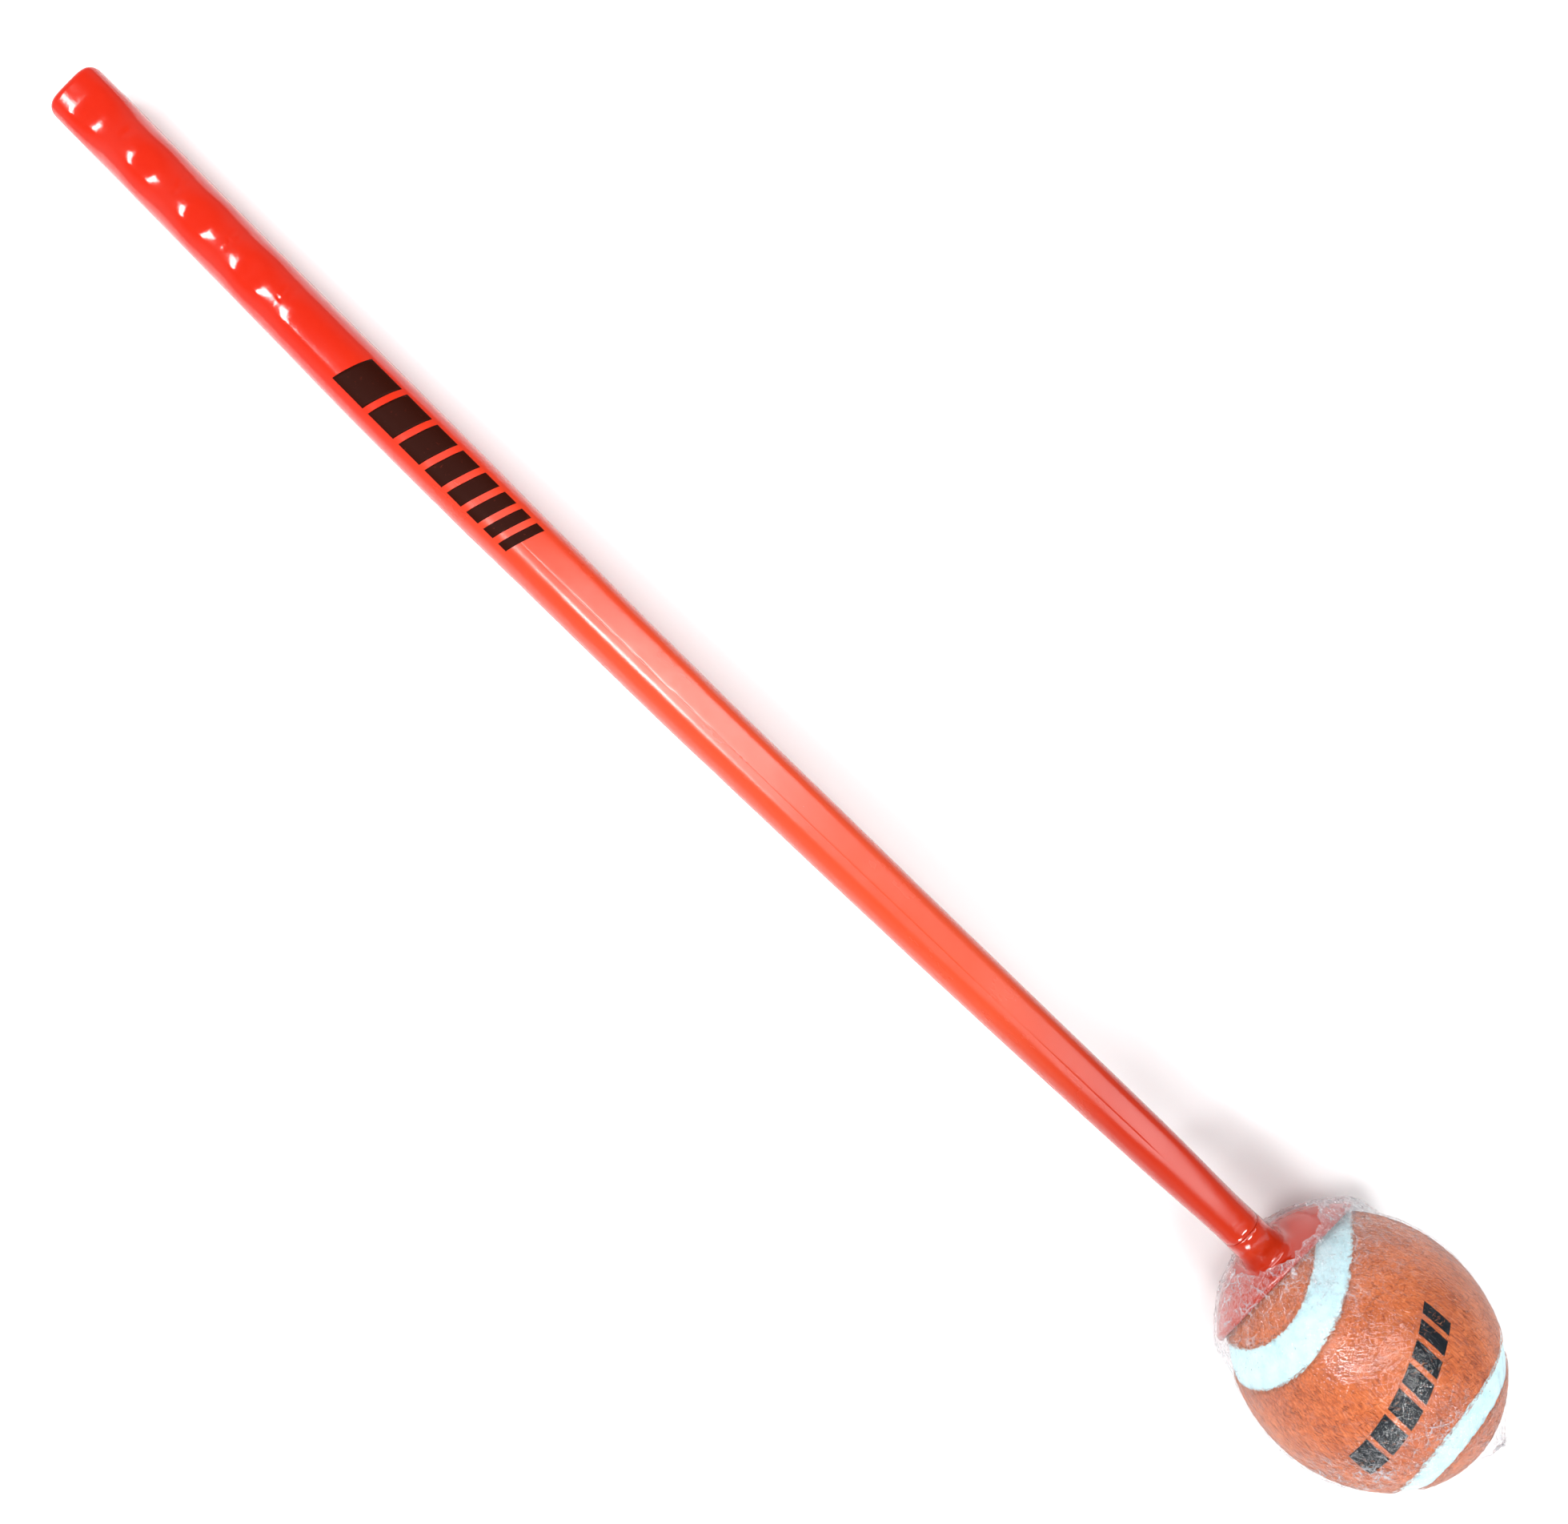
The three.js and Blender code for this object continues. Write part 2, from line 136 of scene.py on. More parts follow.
# ---------- mesh helpers ----------

def make_mesh(name, points, faces, smooth=True):
    """An object from arrays of points and faces, in the row frame."""
    mesh = bpy.data.meshes.new(name)
    mesh.from_pydata(np.asarray(points).tolist(), [], [list(f) for f in np.asarray(faces, dtype=object)])
    mesh.polygons.foreach_set("use_smooth", [smooth] * len(mesh.polygons))
    mesh.validate()
    mesh.update()
    piece = bpy.data.objects.new(name, mesh)
    bpy.context.scene.collection.objects.link(piece)
    return piece


def grid_faces(rows, columns, wrap_rows=False, wrap_columns=False):
    """Quads between neighbouring points of a grid that is stored row by row."""
    i = np.arange(rows if wrap_rows else rows - 1)
    j = np.arange(columns if wrap_columns else columns - 1)
    i, j = (a.ravel() for a in np.meshgrid(i, j, indexing="ij"))
    i2, j2 = (i + 1) % rows, (j + 1) % columns
    return np.stack([i * columns + j, i * columns + j2, i2 * columns + j2, i2 * columns + j], axis=1)


def smoothstep(x, low, high):
    t = np.clip((x - low) / (high - low), 0, 1)
    return t * t * (3 - 2 * t)


def unit(vectors):
    return vectors / np.linalg.norm(vectors, axis=-1, keepdims=True)


def noise_at(points, size, seed=0, stretch=(1, 1, 1)):
    """Smooth noise from -1 to 1 at each point, with features of about a size in metres."""
    scaled = points.reshape(-1, 3) / (size * np.array(stretch)) + seed * 17.3
    return np.array([noise.noise(p) for p in scaled.tolist()]).reshape(points.shape[:-1])


def crease_at(points, size, seed=0, stretch=(1, 1, 1)):
    """Sharp ridges between cells, 1 on a ridge and 0 inside a cell, as creased film has."""
    scaled = points.reshape(-1, 3) / (size * np.array(stretch)) + seed * 17.3
    gaps = []
    for p in scaled.tolist():
        near = noise.voronoi(p)[0]
        gaps.append(near[1] - near[0])
    return np.exp(-np.array(gaps) * 5).reshape(points.shape[:-1])


def direction(azimuth, elevation):
    a, e = math.radians(azimuth), math.radians(elevation)
    return np.array([math.cos(e) * math.cos(a), math.cos(e) * math.sin(a), math.sin(e)])


def angle_from(directions, axis):
    """Degrees between unit vectors and an axis."""
    return np.degrees(np.arccos(np.clip(directions @ axis, -1, 1)))


def table_value(rows, s, column):
    """A column of a table at distances s, on a smooth line through its rows."""
    keys, values = rows[:, 0], rows[:, column]
    last = len(keys) - 1
    after = np.minimum(np.arange(last + 1) + 1, last)
    before = np.maximum(np.arange(last + 1) - 1, 0)
    slopes = (values[after] - values[before]) / (keys[after] - keys[before])
    i = np.clip(np.searchsorted(keys, s, side="right") - 1, 0, last - 1)
    span = keys[i + 1] - keys[i]
    q = np.clip((s - keys[i]) / span, 0, 1)
    return (
        (2 * q**3 - 3 * q**2 + 1) * values[i]
        + (q**3 - 2 * q**2 + q) * span * slopes[i]
        + (3 * q**2 - 2 * q**3) * values[i + 1]
        + (q**3 - q**2) * span * slopes[i + 1]
    )


# ---------- the shaft's line and section ----------

def shaft_centre(x):
    u = np.clip((x - BUTT_X) / SHAFT_LENGTH, 0, 1)
    y = -SHAFT_BOW * np.sin(np.pi * u)
    z = BUTT_HALF_DEPTH + (SHAFT_END_Z - BUTT_HALF_DEPTH) * u**SHAFT_RISE_POWER
    return y, z


def top_power(s, side):
    """How square the top is: squarer at the butt, and flat on +Y beside round on -Y in the middle."""
    butt = 1 - smoothstep(s, *BUTT_FADE)
    middle = smoothstep(s, *MIDDLE_FADE_IN) * (1 - smoothstep(s, *MIDDLE_FADE_OUT))
    uneven = middle * np.where(side > 0, FLAT_SIDE, ROUND_SIDE)
    return TOP_ROUNDNESS + (BUTT_ROUNDNESS - TOP_ROUNDNESS) * butt + uneven


def section(angles, width, depth, s=PLAIN_STATION):
    """Sideways and upward offsets round a superellipse that is squarer below than above."""
    c, up = np.cos(angles), np.sin(angles)
    power = np.where(up > 0, top_power(s, c), BOTTOM_ROUNDNESS)
    radius = (np.abs(c) ** power + np.abs(up) ** power) ** (-1 / power)
    return width * radius * c, depth * radius * up


def finger_depth(x):
    """How far the top is scooped out for the fingers: a short fall after each ridge, then a longer rise."""
    along = (x - BUTT_X - GROOVE_START) / GROOVE_PITCH
    inside = (along > 0) & (along < GROOVE_COUNT)
    phase = along - np.floor(along)
    fall = smoothstep(phase, 0, GROOVE_LOW)
    rise = 1 - smoothstep(phase, GROOVE_LOW, 1)
    return np.where(inside, GROOVE_DEPTH * np.minimum(fall, rise), 0)


def ridge_wrinkles(x, y):
    """Fine pinched creases on the rise to each ridge, on the side of +Y."""
    found = np.zeros(np.broadcast(x, y).shape)
    for k in range(GROOVE_COUNT):
        pinch = BUTT_X + GROOVE_START + (k + PINCH) * GROOVE_PITCH
        for j in range(4):
            wobble = 0.5 * MM * np.sin(y / (1.3 * MM) + j + k)
            line = pinch + (-1.6 + 0.85 * j) * MM - 0.1 * (y - 2 * MM) + wobble
            reach = smoothstep(y, (-2.5 + j) * MM, (0.5 + j) * MM) * (1 - smoothstep(y, 5 * MM, 8 * MM))
            found += (0.16 - 0.02 * j) * MM * np.exp(-(((x - line) / (0.26 * MM)) ** 2)) * reach
    return found


def parting_crease(x, y, up):
    """The mould's parting line along the top: a fine groove in a shallow dip, missing over the grip."""
    starts = smoothstep(x, BUTT_X + 161 * MM, BUTT_X + 196 * MM)
    worn = 1 - 0.6 * smoothstep(np.abs(x - (BUTT_X + 346 * MM)), 25 * MM, 0 * MM)
    ends = 1 - smoothstep(x, SHAFT_END_X - 38 * MM, SHAFT_END_X - 22 * MM)
    strength = starts * worn * ends
    fine = 0.09 * MM * np.exp(-(((y + 0.3 * MM) / (0.22 * MM)) ** 2))
    dip = 0.12 * MM * np.exp(-(((y + 0.8 * MM) / (1.2 * MM)) ** 2))
    return strength * (fine + dip) * (up > 0)


def shaft_surface(x, angles, inset=0.0, detail=True):
    """Points of the shaft's skin at places along X and angles round it, both arrays of one shape."""
    s = x - BUTT_X
    width = table_value(SHAFT_SIZES, s, 1) - inset
    depth = table_value(SHAFT_SIZES, s, 2) - inset
    sideways, upward = section(angles, width, depth, s)
    lowered = finger_depth(x) * smoothstep(upward / depth, 0.1, 0.95)
    if detail:
        fine = ridge_wrinkles(x, sideways) + parting_crease(x, sideways, upward)
        lowered = lowered + fine * smoothstep(upward / depth, 0.2, 0.6)
    y, z = shaft_centre(x)
    points = np.stack([x, y + sideways, z + upward - lowered], axis=-1)
    if detail:
        points = points + shaft_waves(points, s, np.cos(angles), np.sin(angles))
    return points


def shaft_waves(points, s, c, up):
    """The thin moulded wall is a little wavy, most of all in the middle of the stick."""
    middle = 0.35 + 0.65 * np.exp(-(((s - 201 * MM) / (75 * MM)) ** 2))
    broad = noise_at(points, 16 * MM, 1, (1.8, 1, 1)) * 0.16 * MM
    small = noise_at(points, 5 * MM, 2, (1.6, 1, 1)) * 0.045 * MM
    fine = noise_at(points, 1.6 * MM, 3, (1.5, 1, 1)) * 0.008 * MM
    dented = np.exp(-(((s - 228 * MM) / (16 * MM)) ** 2)) * (c > 0)
    dents = noise_at(points, 3.2 * MM, 4) * 0.07 * MM * dented
    rings = 0.02 * MM * np.sin((s - SHAFT_LENGTH) / (0.42 * MM)) * smoothstep(
        s, SHAFT_LENGTH - 6.5 * MM, SHAFT_LENGTH - 5 * MM) * (up > 0)
    height = dents + (broad + small) * middle * smoothstep(s, 60 * MM, 110 * MM) + fine + rings
    return np.stack([np.zeros_like(height), height * c, height * up], axis=-1)


def top_of_shaft(x, sideways):
    """The shaft's skin at a sideways distance from its centre line, on top."""
    s = x - BUTT_X
    width, depth = table_value(SHAFT_SIZES, s, 1), table_value(SHAFT_SIZES, s, 2)
    share = np.clip(np.abs(sideways) / width, 0, 0.999)
    power = top_power(s, sideways)
    upward = depth * (1 - share**power) ** (1 / power)
    return shaft_surface(x, np.arctan2(upward / depth, sideways / width))


# ---------- the stick's pieces ----------

RING = 2 * np.pi * np.arange(144) / 144
ROUND = RING + 0.35 * np.sin(2 * RING)      # closer together along the top and the bottom


def ring_points(x, inset, detail=True):
    return shaft_surface(np.full(len(ROUND), x), ROUND, inset, detail)


def spigot_points(x, inset=0.0):
    sideways, upward = section(ROUND, SPIGOT["width"] - inset, SPIGOT["depth"] - inset)
    y, z = shaft_centre(SHAFT_END_X)
    return np.stack([np.full(len(ROUND), x), y + sideways, z - SPIGOT["drop"] + upward], axis=-1)


def build_shaft():
    """The hollow moulding: rounded at the butt, stepped down to a spigot inside the cup's neck."""
    face = BUTT_X + PLUG_SETBACK
    turns = np.radians(np.linspace(0, 90, 9))
    edge = [
        ring_points(face + EDGE_RADIUS * (1 - math.sin(a)), EDGE_RADIUS * (1 - math.cos(a)))
        for a in turns[::-1]
    ]
    stations = np.arange(face + EDGE_RADIUS + 0.6 * MM, SHAFT_END_X - 0.5 * MM, 0.8 * MM)
    outer = [ring_points(x, 0) for x in stations]
    step = [
        ring_points(SHAFT_END_X - JOINT_EDGE, 0),
        ring_points(SHAFT_END_X, JOINT_EDGE),
        spigot_points(SHAFT_END_X),
        spigot_points(SHAFT_END_X + SPIGOT["length"]),
        spigot_points(SHAFT_END_X + SPIGOT["length"], SPIGOT["wall"]),
        spigot_points(SHAFT_END_X - SHAFT_WALL, SPIGOT["wall"]),
    ]
    bore = np.linspace(SHAFT_END_X - 4 * MM, BUTT_X + 2.7 * MM, 90)
    inner = [ring_points(x, SHAFT_WALL, False) for x in bore]
    seat = [ring_points(face + EDGE_RADIUS * 0.4, EDGE_RADIUS + 0.4 * MM, False)]
    rings = np.array(edge + outer + step + inner + seat)
    faces = grid_faces(*rings.shape[:2], wrap_rows=True, wrap_columns=True)
    return make_mesh("shaft_skin", rings.reshape(-1, 3), faces)


def build_plug():
    """The plug's disc, flat in the middle, and the shank that grips the shaft's bore."""
    # distance from the butt and inset from the shaft's skin, in millimetres
    steps = [
        (0.0, 7.6), (0.0, 6.0), (0.0, 4.6), (0.05, 3.9), (0.12, 3.4), (0.25, 3.05), (0.5, 2.8), (0.8, 2.7),
        (1.7, 2.7), (2.2, 3.0), (3.0, 3.0), (3.2, 3.3), (4.6, 3.3), (4.8, 3.0), (7.4, 3.1),
        (PLUG_LENGTH / MM, 3.8), (PLUG_LENGTH / MM, 6.0),
    ]
    y, z = shaft_centre(BUTT_X)
    rings = []
    for x, inset in steps:
        sideways, upward = section(ROUND, SHAFT_SIZES[0, 1] - inset * MM, SHAFT_SIZES[0, 2] - inset * MM, 0)
        rings.append(np.stack([np.full(len(ROUND), BUTT_X + x * MM), y + sideways, z + upward], axis=-1))
    points = np.array(rings).reshape(-1, 3)
    count, last = len(ROUND), len(points)
    centres = np.array([[BUTT_X, y, z], [BUTT_X + PLUG_LENGTH, y, z]])
    faces = grid_faces(len(steps), count, wrap_columns=True).tolist()
    for i in range(count):
        j = (i + 1) % count
        faces.append([last, j, i])
        faces.append([last + 1, last - count + i, last - count + j])
    return make_mesh("butt_plug_skin", np.vstack([points, centres]), faces)


# ---------- the cup ----------

# x past the shaft's end, half width, half depth, and the centre's drop below the shaft's end
NECK = np.array([
    [-2.0, 5.4, 6.0, -0.1],
    [0.0, 5.4, 6.0, 0.0],
    [2.6, 5.5, 6.2, 0.5],
    [5.6, 5.7, 6.6, 2.2],
    [8.6, 6.1, 7.2, 4.4],
    [11.7, 6.6, 7.6, 5.6],
    [14.2, 7.2, 8.0, 6.2],
    [17.2, 7.8, 8.4, 6.4],
]) * MM


def blend_min(a, b, width):
    h = np.clip(0.5 + 0.5 * (b - a) / width, 0, 1)
    return b + (a - b) * h - width * h * (1 - h)


def blend_max(a, b, width):
    return -blend_min(-a, -b, width)


def cup_distance(p):
    """Signed distance, near enough, from points to the cup head's skin: negative inside it."""
    away = p - BALL
    radius = np.linalg.norm(away, axis=-1)
    directions = away / np.maximum(radius, 1e-6)[..., None]
    past_cup = angle_from(directions, direction(180, -CUP_POLE)) - CUP_HALF_ANGLE
    past_tongue = angle_from(directions, direction(180, -TONGUE_POLE)) - TONGUE_HALF_ANGLE
    beyond_cup = np.radians(past_cup) * radius
    beyond_tongue = np.radians(past_tongue) * radius
    wall = blend_max(radius - CUP_OUTER, CUP_INNER - radius, 0.9 * MM)
    scoop = blend_max(wall, blend_min(beyond_cup, beyond_tongue, 6 * MM), 1.2 * MM)

    x = p[..., 0] - SHAFT_END_X
    width, depth, drop = (table_value(NECK, x, k) for k in (1, 2, 3))
    across = np.abs(p[..., 1]) / width
    up = (p[..., 2] - (SHAFT_END_Z - drop)) / depth
    power = np.where(up > 0, TOP_ROUNDNESS, BOTTOM_ROUNDNESS)
    ring = (across**power + np.abs(up) ** power) ** (1 / power)
    neck = (ring - 1) * np.minimum(width, depth)
    neck = blend_max(neck, np.maximum(JOINT_GAP - x, x - 16 * MM), JOINT_EDGE)

    body = blend_min(scoop, neck, 1.8 * MM)
    body = blend_max(body, CUP_INNER - radius, 0.5 * MM)
    socket = np.maximum(
        np.maximum(np.abs(p[..., 1]) - SPIGOT["width"] - 0.3 * MM,
                   np.abs(p[..., 2] - SHAFT_END_Z + SPIGOT["drop"]) - SPIGOT["depth"] - 0.3 * MM),
        x - SPIGOT["length"] - 0.3 * MM,
    )
    return np.maximum(body, -socket)


def skin_of(distance, low, high, step):
    """Points and quads of the surface where a distance function is zero, one point per crossed cell."""
    axes = [np.arange(a, b + step, step) for a, b in zip(low, high)]
    where = np.stack(np.meshgrid(*axes, indexing="ij"), axis=-1)
    values = distance(where)
    inside = values < 0
    cells = tuple(n - 1 for n in inside.shape)
    total, weight = np.zeros(cells + (3,)), np.zeros(cells)
    corners = [(i, j, k) for i in (0, 1) for j in (0, 1) for k in (0, 1)]

    def part(array, corner):
        return array[tuple(slice(c, c + n) for c, n in zip(corner, cells))]

    for a in corners:
        for axis in range(3):
            if a[axis]:
                continue
            b = tuple(c + (k == axis) for k, c in enumerate(a))
            va, vb = part(values, a), part(values, b)
            crossed = (va < 0) != (vb < 0)
            share = np.where(crossed, va / np.where(crossed, va - vb, 1), 0)
            point = part(where, a) + share[..., None] * (part(where, b) - part(where, a))
            total += np.where(crossed[..., None], point, 0)
            weight += crossed
    numbered = np.full(cells, -1)
    used = weight > 0
    numbered[used] = np.arange(used.sum())
    points = total[used] / weight[used][:, None]
    faces = []
    for axis in range(3):
        u, v = [k for k in range(3) if k != axis]
        a = inside
        low_side = tuple(slice(0, -1) if k == axis else slice(1, -1) for k in range(3))
        high_side = tuple(slice(1, None) if k == axis else slice(1, -1) for k in range(3))
        crossed = a[low_side] != a[high_side]
        at = np.argwhere(crossed)
        goes_out = a[low_side][crossed]
        at[:, u] += 1
        at[:, v] += 1
        quad = []
        for du, dv in ((-1, -1), (0, -1), (0, 0), (-1, 0)):
            cell = at.copy()
            cell[:, u] += du
            cell[:, v] += dv
            quad.append(numbered[tuple(cell.T)])
        quad = np.stack(quad, axis=1)
        flip = goes_out if axis == 1 else ~goes_out
        quad[flip] = quad[flip][:, ::-1]
        faces.append(quad)
    return points, np.concatenate(faces)


def build_cup():
    low, high = (np.array(c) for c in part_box("cup_head"))
    margin = 1.6 * MM
    points, faces = skin_of(cup_distance, low - margin, high + margin, 0.55 * MM)
    piece = make_mesh("cup_head_skin", points, faces)
    soften = piece.modifiers.new("soften", "SMOOTH")
    soften.factor = 0.5
    soften.iterations = 3
    return piece


# ---------- the ball ----------

def seam_curve(count):
    """Points of the seam's curve on a unit sphere, and the unit vectors across it."""
    t = 2 * np.pi * np.arange(count) / count
    a, b = 1 - SEAM_WAVE, SEAM_WAVE
    turn = np.array(SEAM_TURN.to_matrix())
    points = np.stack([
        a * np.cos(t) + b * np.cos(3 * t),
        a * np.sin(t) - b * np.sin(3 * t),
        2 * math.sqrt(a * b) * np.sin(2 * t),
    ], axis=1) @ turn.T
    along = np.roll(points, -1, axis=0) - np.roll(points, 1, axis=0)
    return points, unit(np.cross(along, points))


def from_seam(directions):
    """Each direction's distance over the ball from the seam's curve, positive on one side of it."""
    points, across = seam_curve(1500)
    tree = kdtree.KDTree(len(points))
    for i, p in enumerate(points.tolist()):
        tree.insert(p, i)
    tree.balance()
    found = [tree.find(d)[1:] for d in directions.tolist()]
    nearest = np.array([f[0] for f in found])
    chord = np.array([f[1] for f in found])
    side = np.sign((directions * across[nearest]).sum(axis=1))
    return side * 2 * np.arcsin(np.clip(chord / 2, 0, 1)) * BALL_RADIUS


def cube_sphere(n):
    """Unit vectors and quads spread evenly over a sphere, from the six faces of a cube."""
    edge = np.tan(np.linspace(-np.pi / 4, np.pi / 4, n + 1))
    u, v = (g.ravel() for g in np.meshgrid(edge, edge, indexing="ij"))
    one = np.ones_like(u)
    sides = [(one, u, v), (-one, v, u), (v, one, u), (u, -one, v), (u, v, one), (v, u, -one)]
    points = np.concatenate([np.stack(s, axis=1) for s in sides])
    faces = np.concatenate([grid_faces(n + 1, n + 1) + k * (n + 1) ** 2 for k in range(6)])
    _, first, same = np.unique(np.round(points, 6), axis=0, return_index=True, return_inverse=True)
    points, faces = unit(points[first]), same.reshape(-1)[faces]
    middle = points[faces].mean(axis=1)
    normal = np.cross(points[faces[:, 1]] - points[faces[:, 0]], points[faces[:, 2]] - points[faces[:, 0]])
    inward = (middle * normal).sum(axis=1) < 0
    faces[inward] = faces[inward][:, ::-1]
    return points, faces


NAP = unit(np.array([0.72, 0.69, 0.0]))     # the way the felt's fibres are combed
SPHERE_STEPS = 112                          # along each edge of the cube that the ball is spread from
FIBRES = 6000                               # on each panel, and a third as many again at its edge


def felt_height(points):
    """The felt's surface: combed tufts and fine nap, in metres above its nominal radius."""
    combed = np.stack([points @ NAP, points @ np.cross([0, 0, 1], NAP), points[:, 2]], axis=1)
    tufts = noise_at(combed, 3.5 * MM, 5, (1.6, 1, 1)) * 0.07 * MM
    strokes = noise_at(combed, 1.1 * MM, 6, (2.6, 0.8, 0.8)) * 0.06 * MM
    grains = noise_at(combed, 0.55 * MM, 7, (2.0, 0.8, 0.8)) * 0.03 * MM
    return tufts + strokes + grains


def seam_half_width(directions):
    """Half the seam that shows between the panels: the felt closes over it more on top and towards +X."""
    wide = smoothstep(-directions[:, 1], 0.1, 0.8) * smoothstep(-directions[:, 0], 0.1, 0.7)
    narrow = smoothstep(directions[:, 0], 0.0, 0.6)
    return (4.1 + 0.6 * wide - 0.7 * narrow) * MM


def build_felt(name, side, sphere):
    """One dog-bone panel: a napped outer face, a soft ragged edge and the cut wall down to the core."""
    directions, faces, beyond = sphere
    inward = side * beyond
    flat = directions * BALL_RADIUS
    ragged = 0.42 * MM * noise_at(flat, 2.6 * MM, 8) + 0.3 * MM * noise_at(flat, 0.9 * MM, 9)
    depth = inward - seam_half_width(directions) - ragged
    kept = faces[(depth[faces] > 0).all(axis=1)]
    used, kept = np.unique(kept, return_inverse=True)
    kept = kept.reshape(-1, 4)
    directions, depth = directions[used], depth[used]
    edge = np.clip(depth / (1.3 * MM), 0, 1)
    top = BALL_RADIUS - 0.05 * MM - 0.55 * MM * (1 - edge) ** 2 + felt_height(directions * BALL_RADIUS)
    outer = BALL + directions * top[:, None]
    inner = BALL + directions * (BALL_RADIUS - FELT)
    count = len(used)
    sides = np.concatenate([kept[:, [k, (k + 1) % 4]] for k in range(4)])
    forward = sides[:, 0].astype(np.int64) * count + sides[:, 1]
    backward = sides[:, 1].astype(np.int64) * count + sides[:, 0]
    rim = sides[~np.isin(forward, backward)]
    walls = np.stack([rim[:, 1], rim[:, 0], rim[:, 0] + count, rim[:, 1] + count], axis=1)
    all_faces = np.concatenate([kept, kept[:, ::-1] + count, walls])
    return make_mesh(name, np.vstack([outer, inner]), all_faces)


def build_seam():
    """The pale seam compound: a slightly domed, lightly puckered strip between the panels."""
    long, wide = 1100, 26
    points, across = seam_curve(long)
    half = (SEAM_WIDTH / 2 + 0.5 * MM) / BALL_RADIUS
    swing = np.linspace(-half, half, wide)
    cosines, sines = np.cos(swing)[None, :, None], np.sin(swing)[None, :, None]
    top = unit(points[:, None] * cosines + across[:, None] * sines)
    place = top * BALL_RADIUS
    dome = 0.18 * MM * (1 - (swing / half) ** 2)[None, :]
    pucker = 0.05 * MM * noise_at(place, 2.4 * MM, 11) + 0.03 * MM * noise_at(place, 0.8 * MM, 12)
    outer = BALL + top * (BALL_RADIUS - 0.55 * MM + dome + pucker)[..., None]
    inner = BALL + top * (BALL_RADIUS - FELT)
    rows = np.concatenate([outer, inner[:, ::-1]], axis=1)
    faces = grid_faces(long, rows.shape[1], wrap_rows=True, wrap_columns=True)
    return make_mesh("seam_band_skin", rows.reshape(-1, 3), faces)


def build_fibres(name, side, sphere, count):
    """Loose felt fibres lying over the panel, each a thin tapered spike with three sides."""
    directions, _, beyond = sphere
    rng = np.random.default_rng(31 if side > 0 else 32)
    depth = side * beyond - seam_half_width(directions)
    inside = np.flatnonzero(depth > -0.1 * MM)
    near_edge = inside[depth[inside] < 0.9 * MM]
    chosen = np.concatenate([rng.choice(inside, count), rng.choice(near_edge, count // 3)])
    out = directions[chosen]
    nap = unit(NAP - out * (out @ NAP)[:, None])
    wide = np.cross(out, nap)
    turn = rng.normal(0, 0.5, len(chosen))
    turn[count:] = rng.uniform(-np.pi, np.pi, len(chosen) - count)
    ahead = nap * np.cos(turn)[:, None] + wide * np.sin(turn)[:, None]
    across = np.cross(out, ahead)
    length = rng.uniform(0.7, 2.0, len(chosen)) * MM
    length[count:] *= 0.6
    thick = rng.uniform(0.03, 0.055, len(chosen)) * MM
    lift = rng.uniform(0.0, 0.1, len(chosen)) * MM
    curl = rng.normal(0, 0.25, len(chosen))
    base = BALL + out * (BALL_RADIUS - 0.1 * MM) - ahead * (length / 2)[:, None]
    points, faces = [], []
    for share, size in ((0.0, 0.7), (0.5, 1.0), (1.0, 0.12)):
        centre = base + ahead * (length * share)[:, None] + across * (curl * length * share**2)[:, None]
        away = centre - BALL
        rise = BALL_RADIUS - 0.06 * MM + lift * math.sin(math.pi * share) + 0.04 * MM
        centre = BALL + unit(away) * rise[:, None]
        for corner in range(3):
            a = 2 * math.pi * corner / 3
            offset = out * math.cos(a) + across * math.sin(a)
            points.append(centre + offset * (thick * size)[:, None])
    points = np.stack(points, axis=1)
    pattern = [(2, 1, 0), (6, 7, 8)]
    for row in (0, 3):
        for k in range(3):
            j = (k + 1) % 3
            pattern.append((row + k, row + j, row + 3 + j))
            pattern.append((row + k, row + 3 + j, row + 3 + k))
    faces = (np.arange(len(chosen)) * 9)[:, None, None] + np.array(pattern)[None]
    return make_mesh(name, points.reshape(-1, 3), faces.reshape(-1, 3))


# ---------- printed marks ----------

def slanted_bars(first_width, shrink, gap, count):
    """(start, width) of bars that get narrower along a row, as plain speed stripes."""
    bars, at, width = [], 0.0, first_width
    for _ in range(count):
        bars.append((at, width))
        at += width + gap
        width *= shrink
    return bars


def patch(place, columns, rows):
    """A thin printed parallelogram: place(u, v) gives its skin, u along and v across, from 0 to 1."""
    u, v = np.meshgrid(np.linspace(0, 1, columns), np.linspace(0, 1, rows), indexing="ij")
    return place(u, v).reshape(-1, 3), grid_faces(columns, rows)


def join_patches(name, patches, thickness):
    points, faces, count = [], [], 0
    for p, f in patches:
        points.append(p)
        faces.append(f + count)
        count += len(p)
    piece = make_mesh(name, np.vstack(points), np.concatenate(faces))
    solid = piece.modifiers.new("ink", "SOLIDIFY")
    solid.thickness = thickness
    solid.offset = 1
    return piece


def build_shaft_print():
    """A row of slanted bars along the top of the shaft, beyond the grip."""
    start, height, slant, middle = BUTT_X + 110 * MM, 10.8 * MM, 3.6 * MM, 0.8 * MM
    patches = []
    for at, width in slanted_bars(11.5 * MM, 0.82, 2.0 * MM, 8):
        def place(u, v, at=at, width=width):
            x = start + at + u * width + (v - 0.5) * slant
            return top_of_shaft(x, middle + (v - 0.5) * height) + np.array([0, 0, 0.012 * MM])
        patches.append(patch(place, 14, 40))
    return join_patches("shaft_print", patches, 0.02 * MM)


